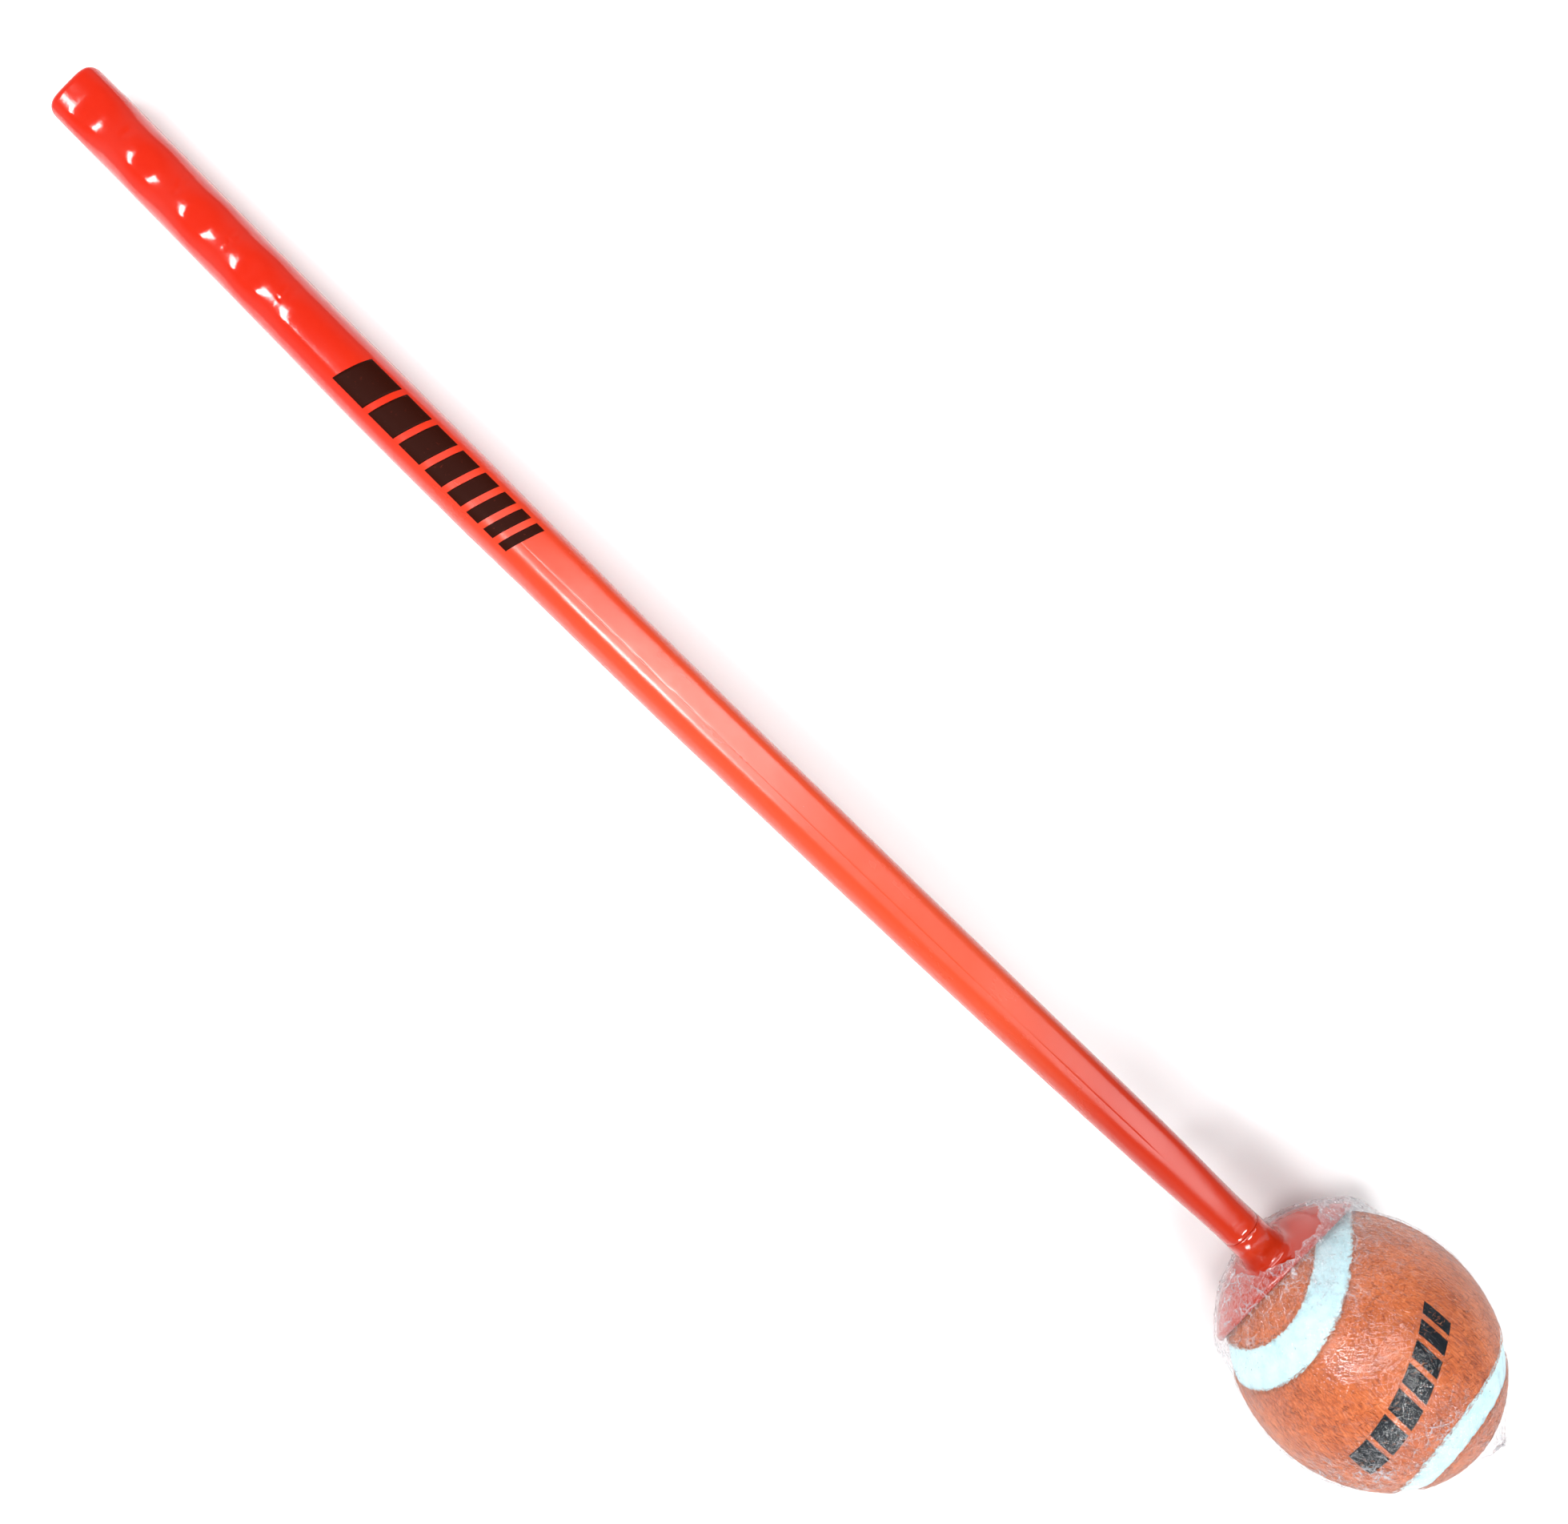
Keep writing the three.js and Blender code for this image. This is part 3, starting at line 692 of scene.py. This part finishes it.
def build_ball_print():
    """The same bars, smaller, across the crown of the ball."""
    start, end = unit(np.array([0.10, -0.62, 0.78])), unit(np.array([-0.27, 0.57, 0.775]))
    across = unit(np.cross(start, end))
    total = math.acos(start @ end) * BALL_RADIUS
    bars = slanted_bars(8.2 * MM, 0.86, 1.5 * MM, 7)
    scale = total / (bars[-1][0] + bars[-1][1])
    height, slant = 6.8 * MM, 2.0 * MM
    ahead = unit(np.cross(across, start))
    patches = []
    for at, width in bars:
        def place(u, v, at=at * scale, width=width * scale):
            swing = (at + u * width + (v - 0.5) * slant) / BALL_RADIUS
            side = (v - 0.5) * height / BALL_RADIUS
            row = start * np.cos(swing)[..., None] + ahead * np.sin(swing)[..., None]
            out = unit(row * np.cos(side)[..., None] + across * np.sin(side)[..., None])
            felt = felt_height((out * BALL_RADIUS).reshape(-1, 3)).reshape(u.shape)
            rise = BALL_RADIUS + 0.05 * MM + felt
            return BALL + out * rise[..., None]
        patches.append(patch(place, 26, 26))
    return join_patches("ball_print", patches, 0.05 * MM)


# ---------- the film ----------

MOUTH = direction(173.5, -3)
MOUTH_HALF_ANGLE = 20.5
GATHER = direction(14, 36)                  # where the film's end is twisted together
PLEAT = direction(152, 4), direction(169, 34)   # the two ends of a doubled pleat over the cup


def film_radius(directions):
    """The film's distance from the ball's centre: over the cup, down a short slope, then on the ball."""
    outside = np.minimum(
        angle_from(directions, direction(180, -CUP_POLE)) - CUP_HALF_ANGLE,
        angle_from(directions, direction(180, -TONGUE_POLE)) - TONGUE_HALF_ANGLE,
    )
    down = smoothstep(outside, 1.0, 13)
    on_cup, on_ball = CUP_OUTER + 0.4 * MM, BALL_RADIUS + 0.2 * MM
    return on_cup + (on_ball - on_cup) * down


def strip_mask(directions, start, end, half_width):
    """1 along the line from one direction to another, fading to 0 over a half width in degrees."""
    along = end - start
    share = np.clip(((directions - start) @ along) / (along @ along), 0, 1)
    away = np.degrees(np.linalg.norm(directions - (start + share[..., None] * along), axis=-1))
    return np.exp(-((away / half_width) ** 2))


def creasing(directions, from_mouth):
    """How creased the film is, 0 to 1: most at the mouth, gather and pleat, then over the crown."""
    near_mouth = np.exp(-np.clip(from_mouth, 0, None) / 16.0)
    near_gather = np.exp(-((angle_from(directions, GATHER) / 17.0) ** 2))
    pleat = strip_mask(directions, *PLEAT, 8.0)
    across_crown = np.exp(-(((directions[..., 0] - 0.24) / 0.22) ** 2))
    crown = across_crown * smoothstep(-directions[..., 1], -0.45, 0.1)
    low = smoothstep(-directions[..., 2], -0.45, 0.1)
    return np.clip(0.05 + 0.9 * near_mouth + 0.9 * near_gather + pleat + crown + 0.6 * low, 0, 1)


def build_film():
    """A creased skin round the cup and the ball, open round the neck with a ruffled edge."""
    rings, sides = 260, 340
    turn = np.array(Vector((1, 0, 0)).rotation_difference(Vector(MOUTH)).to_matrix())
    share = np.linspace(0, 1, rings)[:, None]
    psi = 2 * np.pi * np.arange(sides) / sides
    ring = np.stack([np.cos(psi), np.sin(psi), np.zeros(sides)], axis=1)
    edge = MOUTH_HALF_ANGLE + 3.0 * noise_at(ring, 0.45, 31) + 1.8 * noise_at(ring, 0.12, 32)
    away = edge + (180 - edge) * share
    polar = np.radians(away)
    local = np.stack([np.cos(polar), np.sin(polar) * np.cos(psi), np.sin(polar) * np.sin(psi)], axis=-1)
    directions = local @ turn.T
    place = directions * BALL_RADIUS
    from_mouth = away - edge
    creased = creasing(directions, from_mouth)
    tent = np.exp(-((angle_from(directions, direction(143, 5)) / 13.0) ** 2))
    pleat = strip_mask(directions, *PLEAT, 6.0)
    pulled = np.exp(-((angle_from(directions, GATHER) / 8.0) ** 2))
    height = film_radius(directions) + MM * (
        (0.5 * crease_at(place, 3.6 * MM, 21, (1.9, 1, 1))
         + 0.26 * crease_at(place, 1.9 * MM, 23)) * creased
        + 0.25 * noise_at(place, 2.2 * MM, 26) * creased
        + pulled * (1.2 + 1.2 * crease_at(place, 2.6 * MM, 24))
        + tent * (1.4 + 1.5 * crease_at(place, 4.0 * MM, 25))
        + pleat * (0.5 + 0.9 * crease_at(place, 2.8 * MM, 27))
        + 0.7 * np.exp(-from_mouth / 1.6)
    )
    points = BALL + directions * height[..., None]
    piece = make_mesh("film_skin", points.reshape(-1, 3), grid_faces(rings, sides, wrap_columns=True))
    store_value(piece, "creased", creased)
    doubled = pulled + 0.8 * tent + pleat + np.exp(-from_mouth / 1.2)
    store_value(piece, "doubled", np.clip(doubled, 0, 1))
    return piece


def store_value(piece, name, values):
    """Keeps one number per point on the mesh, for a material to read."""
    layer = piece.data.attributes.new(name, "FLOAT", "POINT")
    layer.data.foreach_set("value", np.asarray(values, dtype=np.float32).ravel())


# ---------- materials ----------

def new_material(name):
    """A material with its nodes, its Principled shader and its links."""
    material = bpy.data.materials.new(name)
    material.use_nodes = True
    tree = material.node_tree
    return material, tree.nodes, tree.links, tree.nodes["Principled BSDF"]


def add_noise(nodes, links, scale, detail=4.0, roughness=0.5, stretch=(1, 1, 1), turn=0.0):
    """A noise texture on the object's own coordinates, in metres, with a stretch."""
    place = nodes.new("ShaderNodeTexCoord")
    mapping = nodes.new("ShaderNodeMapping")
    mapping.inputs["Scale"].default_value = [1 / s for s in stretch]
    mapping.inputs["Rotation"].default_value = (0, 0, turn)
    texture = nodes.new("ShaderNodeTexNoise")
    texture.inputs["Scale"].default_value = scale
    texture.inputs["Detail"].default_value = detail
    texture.inputs["Roughness"].default_value = roughness
    links.new(place.outputs["Object"], mapping.inputs["Vector"])
    links.new(mapping.outputs["Vector"], texture.inputs["Vector"])
    return texture


def add_ramp(nodes, links, source, stops):
    ramp = nodes.new("ShaderNodeValToRGB")
    elements = ramp.color_ramp.elements
    while len(elements) < len(stops):
        elements.new(0.5)
    for element, (at, colour) in zip(elements, stops):
        element.position = at
        element.color = (*colour, 1)
    links.new(source, ramp.inputs["Fac"])
    return ramp


def add_range(nodes, links, source, low, high, from_low=0.0, from_high=1.0):
    span = nodes.new("ShaderNodeMapRange")
    span.inputs["From Min"].default_value = from_low
    span.inputs["From Max"].default_value = from_high
    span.inputs["To Min"].default_value = low
    span.inputs["To Max"].default_value = high
    links.new(source, span.inputs["Value"])
    return span


def add_bump(nodes, links, height, strength, distance, into, before=None):
    bump = nodes.new("ShaderNodeBump")
    bump.inputs["Strength"].default_value = strength
    bump.inputs["Distance"].default_value = distance
    links.new(height, bump.inputs["Height"])
    if before is not None:
        links.new(before.outputs["Normal"], bump.inputs["Normal"])
    links.new(bump.outputs["Normal"], into)
    return bump


def add_math(nodes, links, operation, first, second):
    """A Math node on a socket and either a number or another socket."""
    node = nodes.new("ShaderNodeMath")
    node.operation = operation
    links.new(first, node.inputs[0])
    if isinstance(second, (int, float)):
        node.inputs[1].default_value = second
    else:
        links.new(second, node.inputs[1])
    return node.outputs["Value"]


def orange_plastic():
    """Glossy moulded polyethylene with faint flow marks. Redder over the grip; paler and pinker from the
    middle of the stick on, a painted veil of reflected light; darker near the shaft's end and over the cup
    head, painted shade.
    """
    material, nodes, links, shader = new_material("orange_plastic")
    flow = add_noise(nodes, links, 60, 3, 0.5, (6, 1, 1))
    place = nodes.new("ShaderNodeTexCoord")
    split = nodes.new("ShaderNodeSeparateXYZ")
    links.new(place.outputs["Object"], split.inputs["Vector"])
    along = add_range(nodes, links, split.outputs["X"], 0, 1, BUTT_X, SHAFT_END_X)
    flow_and_painted_light = nodes.new("ShaderNodeMath")
    flow_and_painted_light.operation = "MULTIPLY_ADD"
    links.new(flow.outputs["Fac"], flow_and_painted_light.inputs[0])
    flow_and_painted_light.inputs[1].default_value = 0.16
    links.new(along.outputs["Result"], flow_and_painted_light.inputs[2])
    # Painted light along the stick: the paler, pinker stops from the middle on are a painted veil of
    # reflected light, and the dark last stop, which also covers the cup head, is painted shade.
    ramp = add_ramp(nodes, links, flow_and_painted_light.outputs["Value"], [
        (0.06, (0.53, 0.016, 0.004)),
        (0.32, (0.53, 0.016, 0.004)),
        (0.42, (0.58, 0.025, 0.004)),
        (0.60, (0.58, 0.052, 0.014)),
        (0.90, (0.56, 0.058, 0.018)),
        (1.02, (0.42, 0.022, 0.005)),
    ])
    links.new(ramp.outputs["Color"], shader.inputs["Base Color"])
    gloss = add_noise(nodes, links, 140, 4, 0.6, (3, 1, 1))
    rough = add_range(nodes, links, gloss.outputs["Fac"], 0.16, 0.34)
    polish = add_ramp(nodes, links, along.outputs["Result"], [
        (0.22, (0.42, 0.42, 0.42)),
        (0.34, (1, 1, 1)),
        (0.96, (1, 1, 1)),
        (1.0, (0.5, 0.5, 0.5)),
    ])
    roughness = add_math(nodes, links, "MULTIPLY", rough.outputs["Result"], polish.outputs["Color"])
    links.new(roughness, shader.inputs["Roughness"])
    peel = add_noise(nodes, links, 900, 2, 0.5)
    add_bump(nodes, links, peel.outputs["Fac"], 0.05, 0.0003, shader.inputs["Normal"])
    shader.inputs["Subsurface Weight"].default_value = 0.12
    shader.inputs["Subsurface Radius"].default_value = (0.004, 0.0012, 0.0005)
    shader.inputs["IOR"].default_value = 1.56
    return material


def felt_cloth():
    """Burnt orange felt: combed strokes from brown to pale orange, with a soft sheen."""
    material, nodes, links, shader = new_material("felt_cloth")
    turn = -math.atan2(NAP[1], NAP[0])
    strokes = add_noise(nodes, links, 2300, 5, 0.72, (5, 1, 1), turn)
    clouds = add_noise(nodes, links, 120, 3, 0.5)
    mix = nodes.new("ShaderNodeMath")
    mix.operation = "MULTIPLY_ADD"
    links.new(clouds.outputs["Fac"], mix.inputs[0])
    mix.inputs[1].default_value = 0.35
    links.new(strokes.outputs["Fac"], mix.inputs[2])
    ramp = add_ramp(nodes, links, mix.outputs["Value"], [
        (0.46, (0.19, 0.030, 0.008)),
        (0.57, (0.36, 0.068, 0.015)),
        (0.68, (0.52, 0.112, 0.025)),
        (0.80, (0.63, 0.160, 0.044)),
        (0.92, (0.74, 0.24, 0.08)),
    ])
    links.new(ramp.outputs["Color"], shader.inputs["Base Color"])
    shader.inputs["Roughness"].default_value = 0.85
    shader.inputs["Sheen Weight"].default_value = 0.1
    shader.inputs["Sheen Roughness"].default_value = 0.5
    shader.inputs["Sheen Tint"].default_value = (1.0, 0.62, 0.42, 1)
    fine = add_noise(nodes, links, 2600, 3, 0.6, (3.5, 1, 1), turn)
    first = add_bump(nodes, links, strokes.outputs["Fac"], 0.55, 0.0003, shader.inputs["Normal"])
    add_bump(nodes, links, fine.outputs["Fac"], 0.4, 0.00015, shader.inputs["Normal"], first)
    return material


def felt_fibre():
    """Single fibres, each its own shade of the felt."""
    material, nodes, links, shader = new_material("felt_fibre")
    geometry = nodes.new("ShaderNodeNewGeometry")
    ramp = add_ramp(nodes, links, geometry.outputs["Random Per Island"], [
        (0.0, (0.16, 0.034, 0.010)),
        (0.35, (0.36, 0.085, 0.024)),
        (0.75, (0.58, 0.17, 0.055)),
        (1.0, (0.80, 0.36, 0.18)),
    ])
    links.new(ramp.outputs["Color"], shader.inputs["Base Color"])
    shader.inputs["Roughness"].default_value = 0.6
    return material


def seam_compound():
    """Pale blue-white seam rubber with faint smudges and a few dark specks."""
    material, nodes, links, shader = new_material("seam_compound")
    smudge = add_noise(nodes, links, 260, 5, 0.62)
    ramp = add_ramp(nodes, links, smudge.outputs["Fac"], [
        (0.28, (0.36, 0.58, 0.62)),
        (0.45, (0.52, 0.78, 0.84)),
        (0.62, (0.62, 0.88, 0.93)),
    ])
    specks = add_noise(nodes, links, 1500, 2, 0.4)
    dark = add_range(nodes, links, specks.outputs["Fac"], 0, 1, 0.70, 0.76)
    mix = nodes.new("ShaderNodeMix")
    mix.data_type = "RGBA"
    links.new(dark.outputs["Result"], mix.inputs["Factor"])
    links.new(ramp.outputs["Color"], mix.inputs["A"])
    mix.inputs["B"].default_value = (0.10, 0.12, 0.12, 1)
    links.new(mix.outputs["Result"], shader.inputs["Base Color"])
    shader.inputs["Roughness"].default_value = 0.5
    shader.inputs["Subsurface Weight"].default_value = 0.1
    shader.inputs["Subsurface Radius"].default_value = (0.001, 0.001, 0.001)
    add_bump(nodes, links, smudge.outputs["Fac"], 0.3, 0.0003, shader.inputs["Normal"])
    return material


def add_crease_lines(nodes, links, scale, width, warp):
    """Thin bright lines between warped cells, as crumpled film shows."""
    place = nodes.new("ShaderNodeTexCoord")
    bend = nodes.new("ShaderNodeTexNoise")
    bend.inputs["Scale"].default_value = scale * 0.8
    bend.inputs["Detail"].default_value = 3
    links.new(place.outputs["Object"], bend.inputs["Vector"])
    moved = nodes.new("ShaderNodeVectorMath")
    moved.operation = "MULTIPLY_ADD"
    links.new(bend.outputs["Color"], moved.inputs[0])
    moved.inputs[1].default_value = (warp, warp, warp)
    links.new(place.outputs["Object"], moved.inputs[2])
    cells = nodes.new("ShaderNodeTexVoronoi")
    cells.feature = "DISTANCE_TO_EDGE"
    cells.inputs["Scale"].default_value = scale
    links.new(moved.outputs["Vector"], cells.inputs["Vector"])
    return add_range(nodes, links, cells.outputs["Distance"], 1, 0, 0, width).outputs["Result"]


def clear_film():
    """Stretch film: clear, glossy at a glance, with fine milky creases where it is crumpled."""
    material, nodes, links, shader = new_material("clear_film")
    clear = nodes.new("ShaderNodeBsdfTransparent")
    clear.inputs["Color"].default_value = (0.985, 0.99, 0.995, 1)
    gloss = nodes.new("ShaderNodeBsdfGlossy")
    gloss.inputs["Roughness"].default_value = 0.07
    gloss.inputs["Color"].default_value = (1, 1, 1, 1)
    creased, doubled = (nodes.new("ShaderNodeAttribute") for _ in range(2))
    creased.attribute_name = "creased"
    doubled.attribute_name = "doubled"
    big = add_crease_lines(nodes, links, 300, 0.06, 0.0016)
    small = add_crease_lines(nodes, links, 820, 0.11, 0.0006)
    lines = add_math(nodes, links, "MAXIMUM", big, add_math(nodes, links, "MULTIPLY", small, 0.7))
    lines = add_math(nodes, links, "MULTIPLY", lines, creased.outputs["Fac"])
    bubbles = add_noise(nodes, links, 620, 2, 0.5)
    first = add_bump(nodes, links, bubbles.outputs["Fac"], 0.1, 0.0008, gloss.inputs["Normal"])
    crumple = add_math(nodes, links, "MULTIPLY", add_noise(nodes, links, 420, 4, 0.65).outputs["Fac"],
                       creased.outputs["Fac"])
    second = add_bump(nodes, links, crumple, 0.8, 0.0028, gloss.inputs["Normal"], first)
    third = add_bump(nodes, links, lines, 0.6, 0.0004, gloss.inputs["Normal"], second)
    facing = nodes.new("ShaderNodeLayerWeight")
    facing.inputs["Blend"].default_value = 0.5
    links.new(third.outputs["Normal"], facing.inputs["Normal"])
    shine = add_ramp(nodes, links, facing.outputs["Facing"], [
        (0.0, (0.04, 0.04, 0.04)),
        (0.5, (0.055, 0.055, 0.055)),
        (0.75, (0.09, 0.09, 0.09)),
        (0.9, (0.17, 0.17, 0.17)),
        (1.0, (0.35, 0.35, 0.35)),
    ])
    surface = nodes.new("ShaderNodeMixShader")
    glint = nodes.new("ShaderNodeMath")
    glint.operation = "MULTIPLY_ADD"
    links.new(lines, glint.inputs[0])
    glint.inputs[1].default_value = 0.12
    links.new(shine.outputs["Color"], glint.inputs[2])
    links.new(glint.outputs["Value"], surface.inputs["Fac"])
    links.new(clear.outputs["BSDF"], surface.inputs[1])
    links.new(gloss.outputs["BSDF"], surface.inputs[2])
    shader.inputs["Base Color"].default_value = (0.66, 0.68, 0.72, 1)
    shader.inputs["Roughness"].default_value = 0.25
    links.new(third.outputs["Normal"], shader.inputs["Normal"])
    cloud = add_noise(nodes, links, 330, 4, 0.65)
    milk = add_range(nodes, links, cloud.outputs["Fac"], 0.0, 0.9, 0.44, 0.62)
    haze = add_math(nodes, links, "MULTIPLY", lines, milk.outputs["Result"])
    bloom = add_range(nodes, links, cloud.outputs["Fac"], 0.14, 0.55, 0.42, 0.66)
    extra = add_math(nodes, links, "MULTIPLY", doubled.outputs["Fac"], bloom.outputs["Result"])
    haze = add_math(nodes, links, "MAXIMUM", haze, extra)
    whole = nodes.new("ShaderNodeMixShader")
    links.new(haze, whole.inputs["Fac"])
    links.new(surface.outputs["Shader"], whole.inputs[1])
    links.new(shader.outputs["BSDF"], whole.inputs[2])
    links.new(whole.outputs["Shader"], nodes["Material Output"].inputs["Surface"])
    return material


def print_ink(name, colour, worn, shine):
    """Printed ink with worn pinholes and a slightly uneven gloss."""
    material, nodes, links, shader = new_material(name)
    wear = add_noise(nodes, links, 700, 6, 0.7)
    ramp = add_ramp(nodes, links, wear.outputs["Fac"], [
        (0.30, worn),
        (0.38, colour),
    ])
    links.new(ramp.outputs["Color"], shader.inputs["Base Color"])
    rough = add_range(nodes, links, wear.outputs["Fac"], 0.35, 0.6)
    links.new(rough.outputs["Result"], shader.inputs["Roughness"])
    shader.inputs["Specular IOR Level"].default_value = shine
    return material


def plain_rubber(name, dark, light, roughness):
    """Matte moulded rubber with fine mottling."""
    material, nodes, links, shader = new_material(name)
    mottle = add_noise(nodes, links, 600, 5, 0.6)
    ramp = add_ramp(nodes, links, mottle.outputs["Fac"], [(0.35, dark), (0.65, light)])
    links.new(ramp.outputs["Color"], shader.inputs["Base Color"])
    shader.inputs["Roughness"].default_value = roughness
    add_bump(nodes, links, mottle.outputs["Fac"], 0.3, 0.0003, shader.inputs["Normal"])
    return material


# ---------- stage and light ----------

def build_stage():
    """A pale seamless floor."""
    reach = 3.0
    corners = [[-reach, -reach, 0], [reach, -reach, 0], [reach, reach, 0], [-reach, reach, 0]]
    floor = make_mesh("floor", corners, [[0, 1, 2, 3]], smooth=False)
    material, _, _, shader = new_material("pale_floor")
    shader.inputs["Base Color"].default_value = (0.90, 0.90, 0.905, 1)
    shader.inputs["Roughness"].default_value = 0.9
    shader.inputs["Specular IOR Level"].default_value = 0.1
    floor.data.materials.append(material)


def add_panel(name, place, size, power, target=(0.0, 0.0, 0.02)):
    """A square or rectangular soft light that faces a target."""
    data = bpy.data.lights.new(name, "AREA")
    data.shape = "RECTANGLE"
    data.size, data.size_y = size
    data.energy = power
    panel = bpy.data.objects.new(name, data)
    panel.location = place
    panel.rotation_euler = (Vector(target) - Vector(place)).to_track_quat("-Z", "Y").to_euler()
    bpy.context.scene.collection.objects.link(panel)


def build_world():
    """A pale studio, dimmer straight overhead than along its walls, and dimmer towards +Y."""
    world = bpy.data.worlds.new("studio")
    world.use_nodes = True
    nodes, links = world.node_tree.nodes, world.node_tree.links
    place = nodes.new("ShaderNodeTexCoord")
    split = nodes.new("ShaderNodeSeparateXYZ")
    links.new(place.outputs["Generated"], split.inputs["Vector"])
    ramp = add_ramp(nodes, links, split.outputs["Z"], [
        (0.0, (0.75, 0.76, 0.78)),
        (0.45, (0.60, 0.61, 0.62)),
        (0.75, (0.18, 0.18, 0.18)),
        (1.0, (0.12, 0.12, 0.12)),
    ])
    side = add_range(nodes, links, split.outputs["Y"], 1.3, 0.6, -1, 1)
    shaded = nodes.new("ShaderNodeVectorMath")
    shaded.operation = "SCALE"
    links.new(ramp.outputs["Color"], shaded.inputs["Vector"])
    links.new(side.outputs["Result"], shaded.inputs["Scale"])
    background = nodes["Background"]
    links.new(shaded.outputs["Vector"], background.inputs["Color"])
    background.inputs["Strength"].default_value = 0.7
    bpy.context.scene.world = world


def build_lights():
    """A small distant key, and soft panels overhead whose reflections lie along the stick."""
    add_panel("key_grip", (-0.68, -0.15, 0.62), (0.24, 0.09), 1.8, (-0.2, 0, 0.02))
    add_panel("key_ball", (-0.23, -0.29, 0.72), (0.17, 0.17), 3.8, (0.2, 0, 0.06))
    add_panel("strip_left", (-0.47, 0.5, 2.0), (0.34, 1.9), 21, (-0.47, 0.5, 0))
    add_panel("strip_right", (0.57, 0.4, 2.0), (0.24, 1.9), 10, (0.57, 0.4, 0))
    add_panel("ceiling", (0.08, 0.1, 2.0), (0.7, 2.0), 2.5, (0.08, 0.1, 0))
    add_panel("side", (1.5, -0.62, 1.0), (0.45, 0.4), 12.0, (0.22, 0, 0.04))
    add_panel("far_end", (1.36, 0.0, 2.3), (0.32, 0.24), 14, (0.17, 0, 0.04))
    bpy.context.scene.view_settings.view_transform = "Standard"


# ---------- assembly ----------

def finish_piece(piece, material, body, slot, *nodes):
    piece.data.materials.append(material)
    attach(piece, body)
    if nodes:
        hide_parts(*nodes)


def dress_node(node, material):
    """Gives a CAD node that stays its material."""
    piece = bpy.data.objects[node]
    piece.data.materials.clear()
    piece.data.materials.append(material)


def main():
    make_camera()
    orange = orange_plastic()
    finish_piece(build_shaft(), orange, "launcher", "orange_plastic", "shaft")
    finish_piece(build_plug(), orange, "launcher", "orange_plastic", "butt_plug")
    finish_piece(build_cup(), orange, "launcher", "orange_plastic", "cup_head")
    ink = print_ink("shaft_ink", (0.022, 0.003, 0.001), (0.08, 0.010, 0.004), 0.04)
    finish_piece(build_shaft_print(), ink, "launcher", "orange_plastic")

    directions, faces = cube_sphere(SPHERE_STEPS)
    sphere = (directions, faces, from_seam(directions))
    cloth, fibre = felt_cloth(), felt_fibre()
    panel_sides = {"a": 1, "b": -1}
    for letter, side in panel_sides.items():
        felt = build_felt(f"felt_skin_{letter}", side, sphere)
        finish_piece(felt, cloth, "ball", "felt", f"felt_panel_{letter}")
        fibres = build_fibres(f"felt_fibres_{letter}", side, sphere, FIBRES)
        finish_piece(fibres, fibre, "ball", "felt")
    finish_piece(build_seam(), seam_compound(), "ball", "seam", "ball_seam_band")
    ball_ink = print_ink("ball_ink", (0.004, 0.007, 0.011), (0.06, 0.02, 0.01), 0.12)
    finish_piece(build_ball_print(), ball_ink, "ball", "felt")
    rubber = plain_rubber("core_rubber", (0.030, 0.028, 0.026), (0.070, 0.066, 0.060), 0.85)
    for node in ("ball_core_half_a", "ball_core_half_b"):
        dress_node(node, rubber)
    dress_node("ball_core_cement", plain_rubber("cement", (0.50, 0.44, 0.32), (0.72, 0.66, 0.52), 0.7))

    film = build_film()
    film.data.materials.append(clear_film())
    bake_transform(film)
    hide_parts("film_wrap")

    build_stage()
    build_world()
    build_lights()


main()
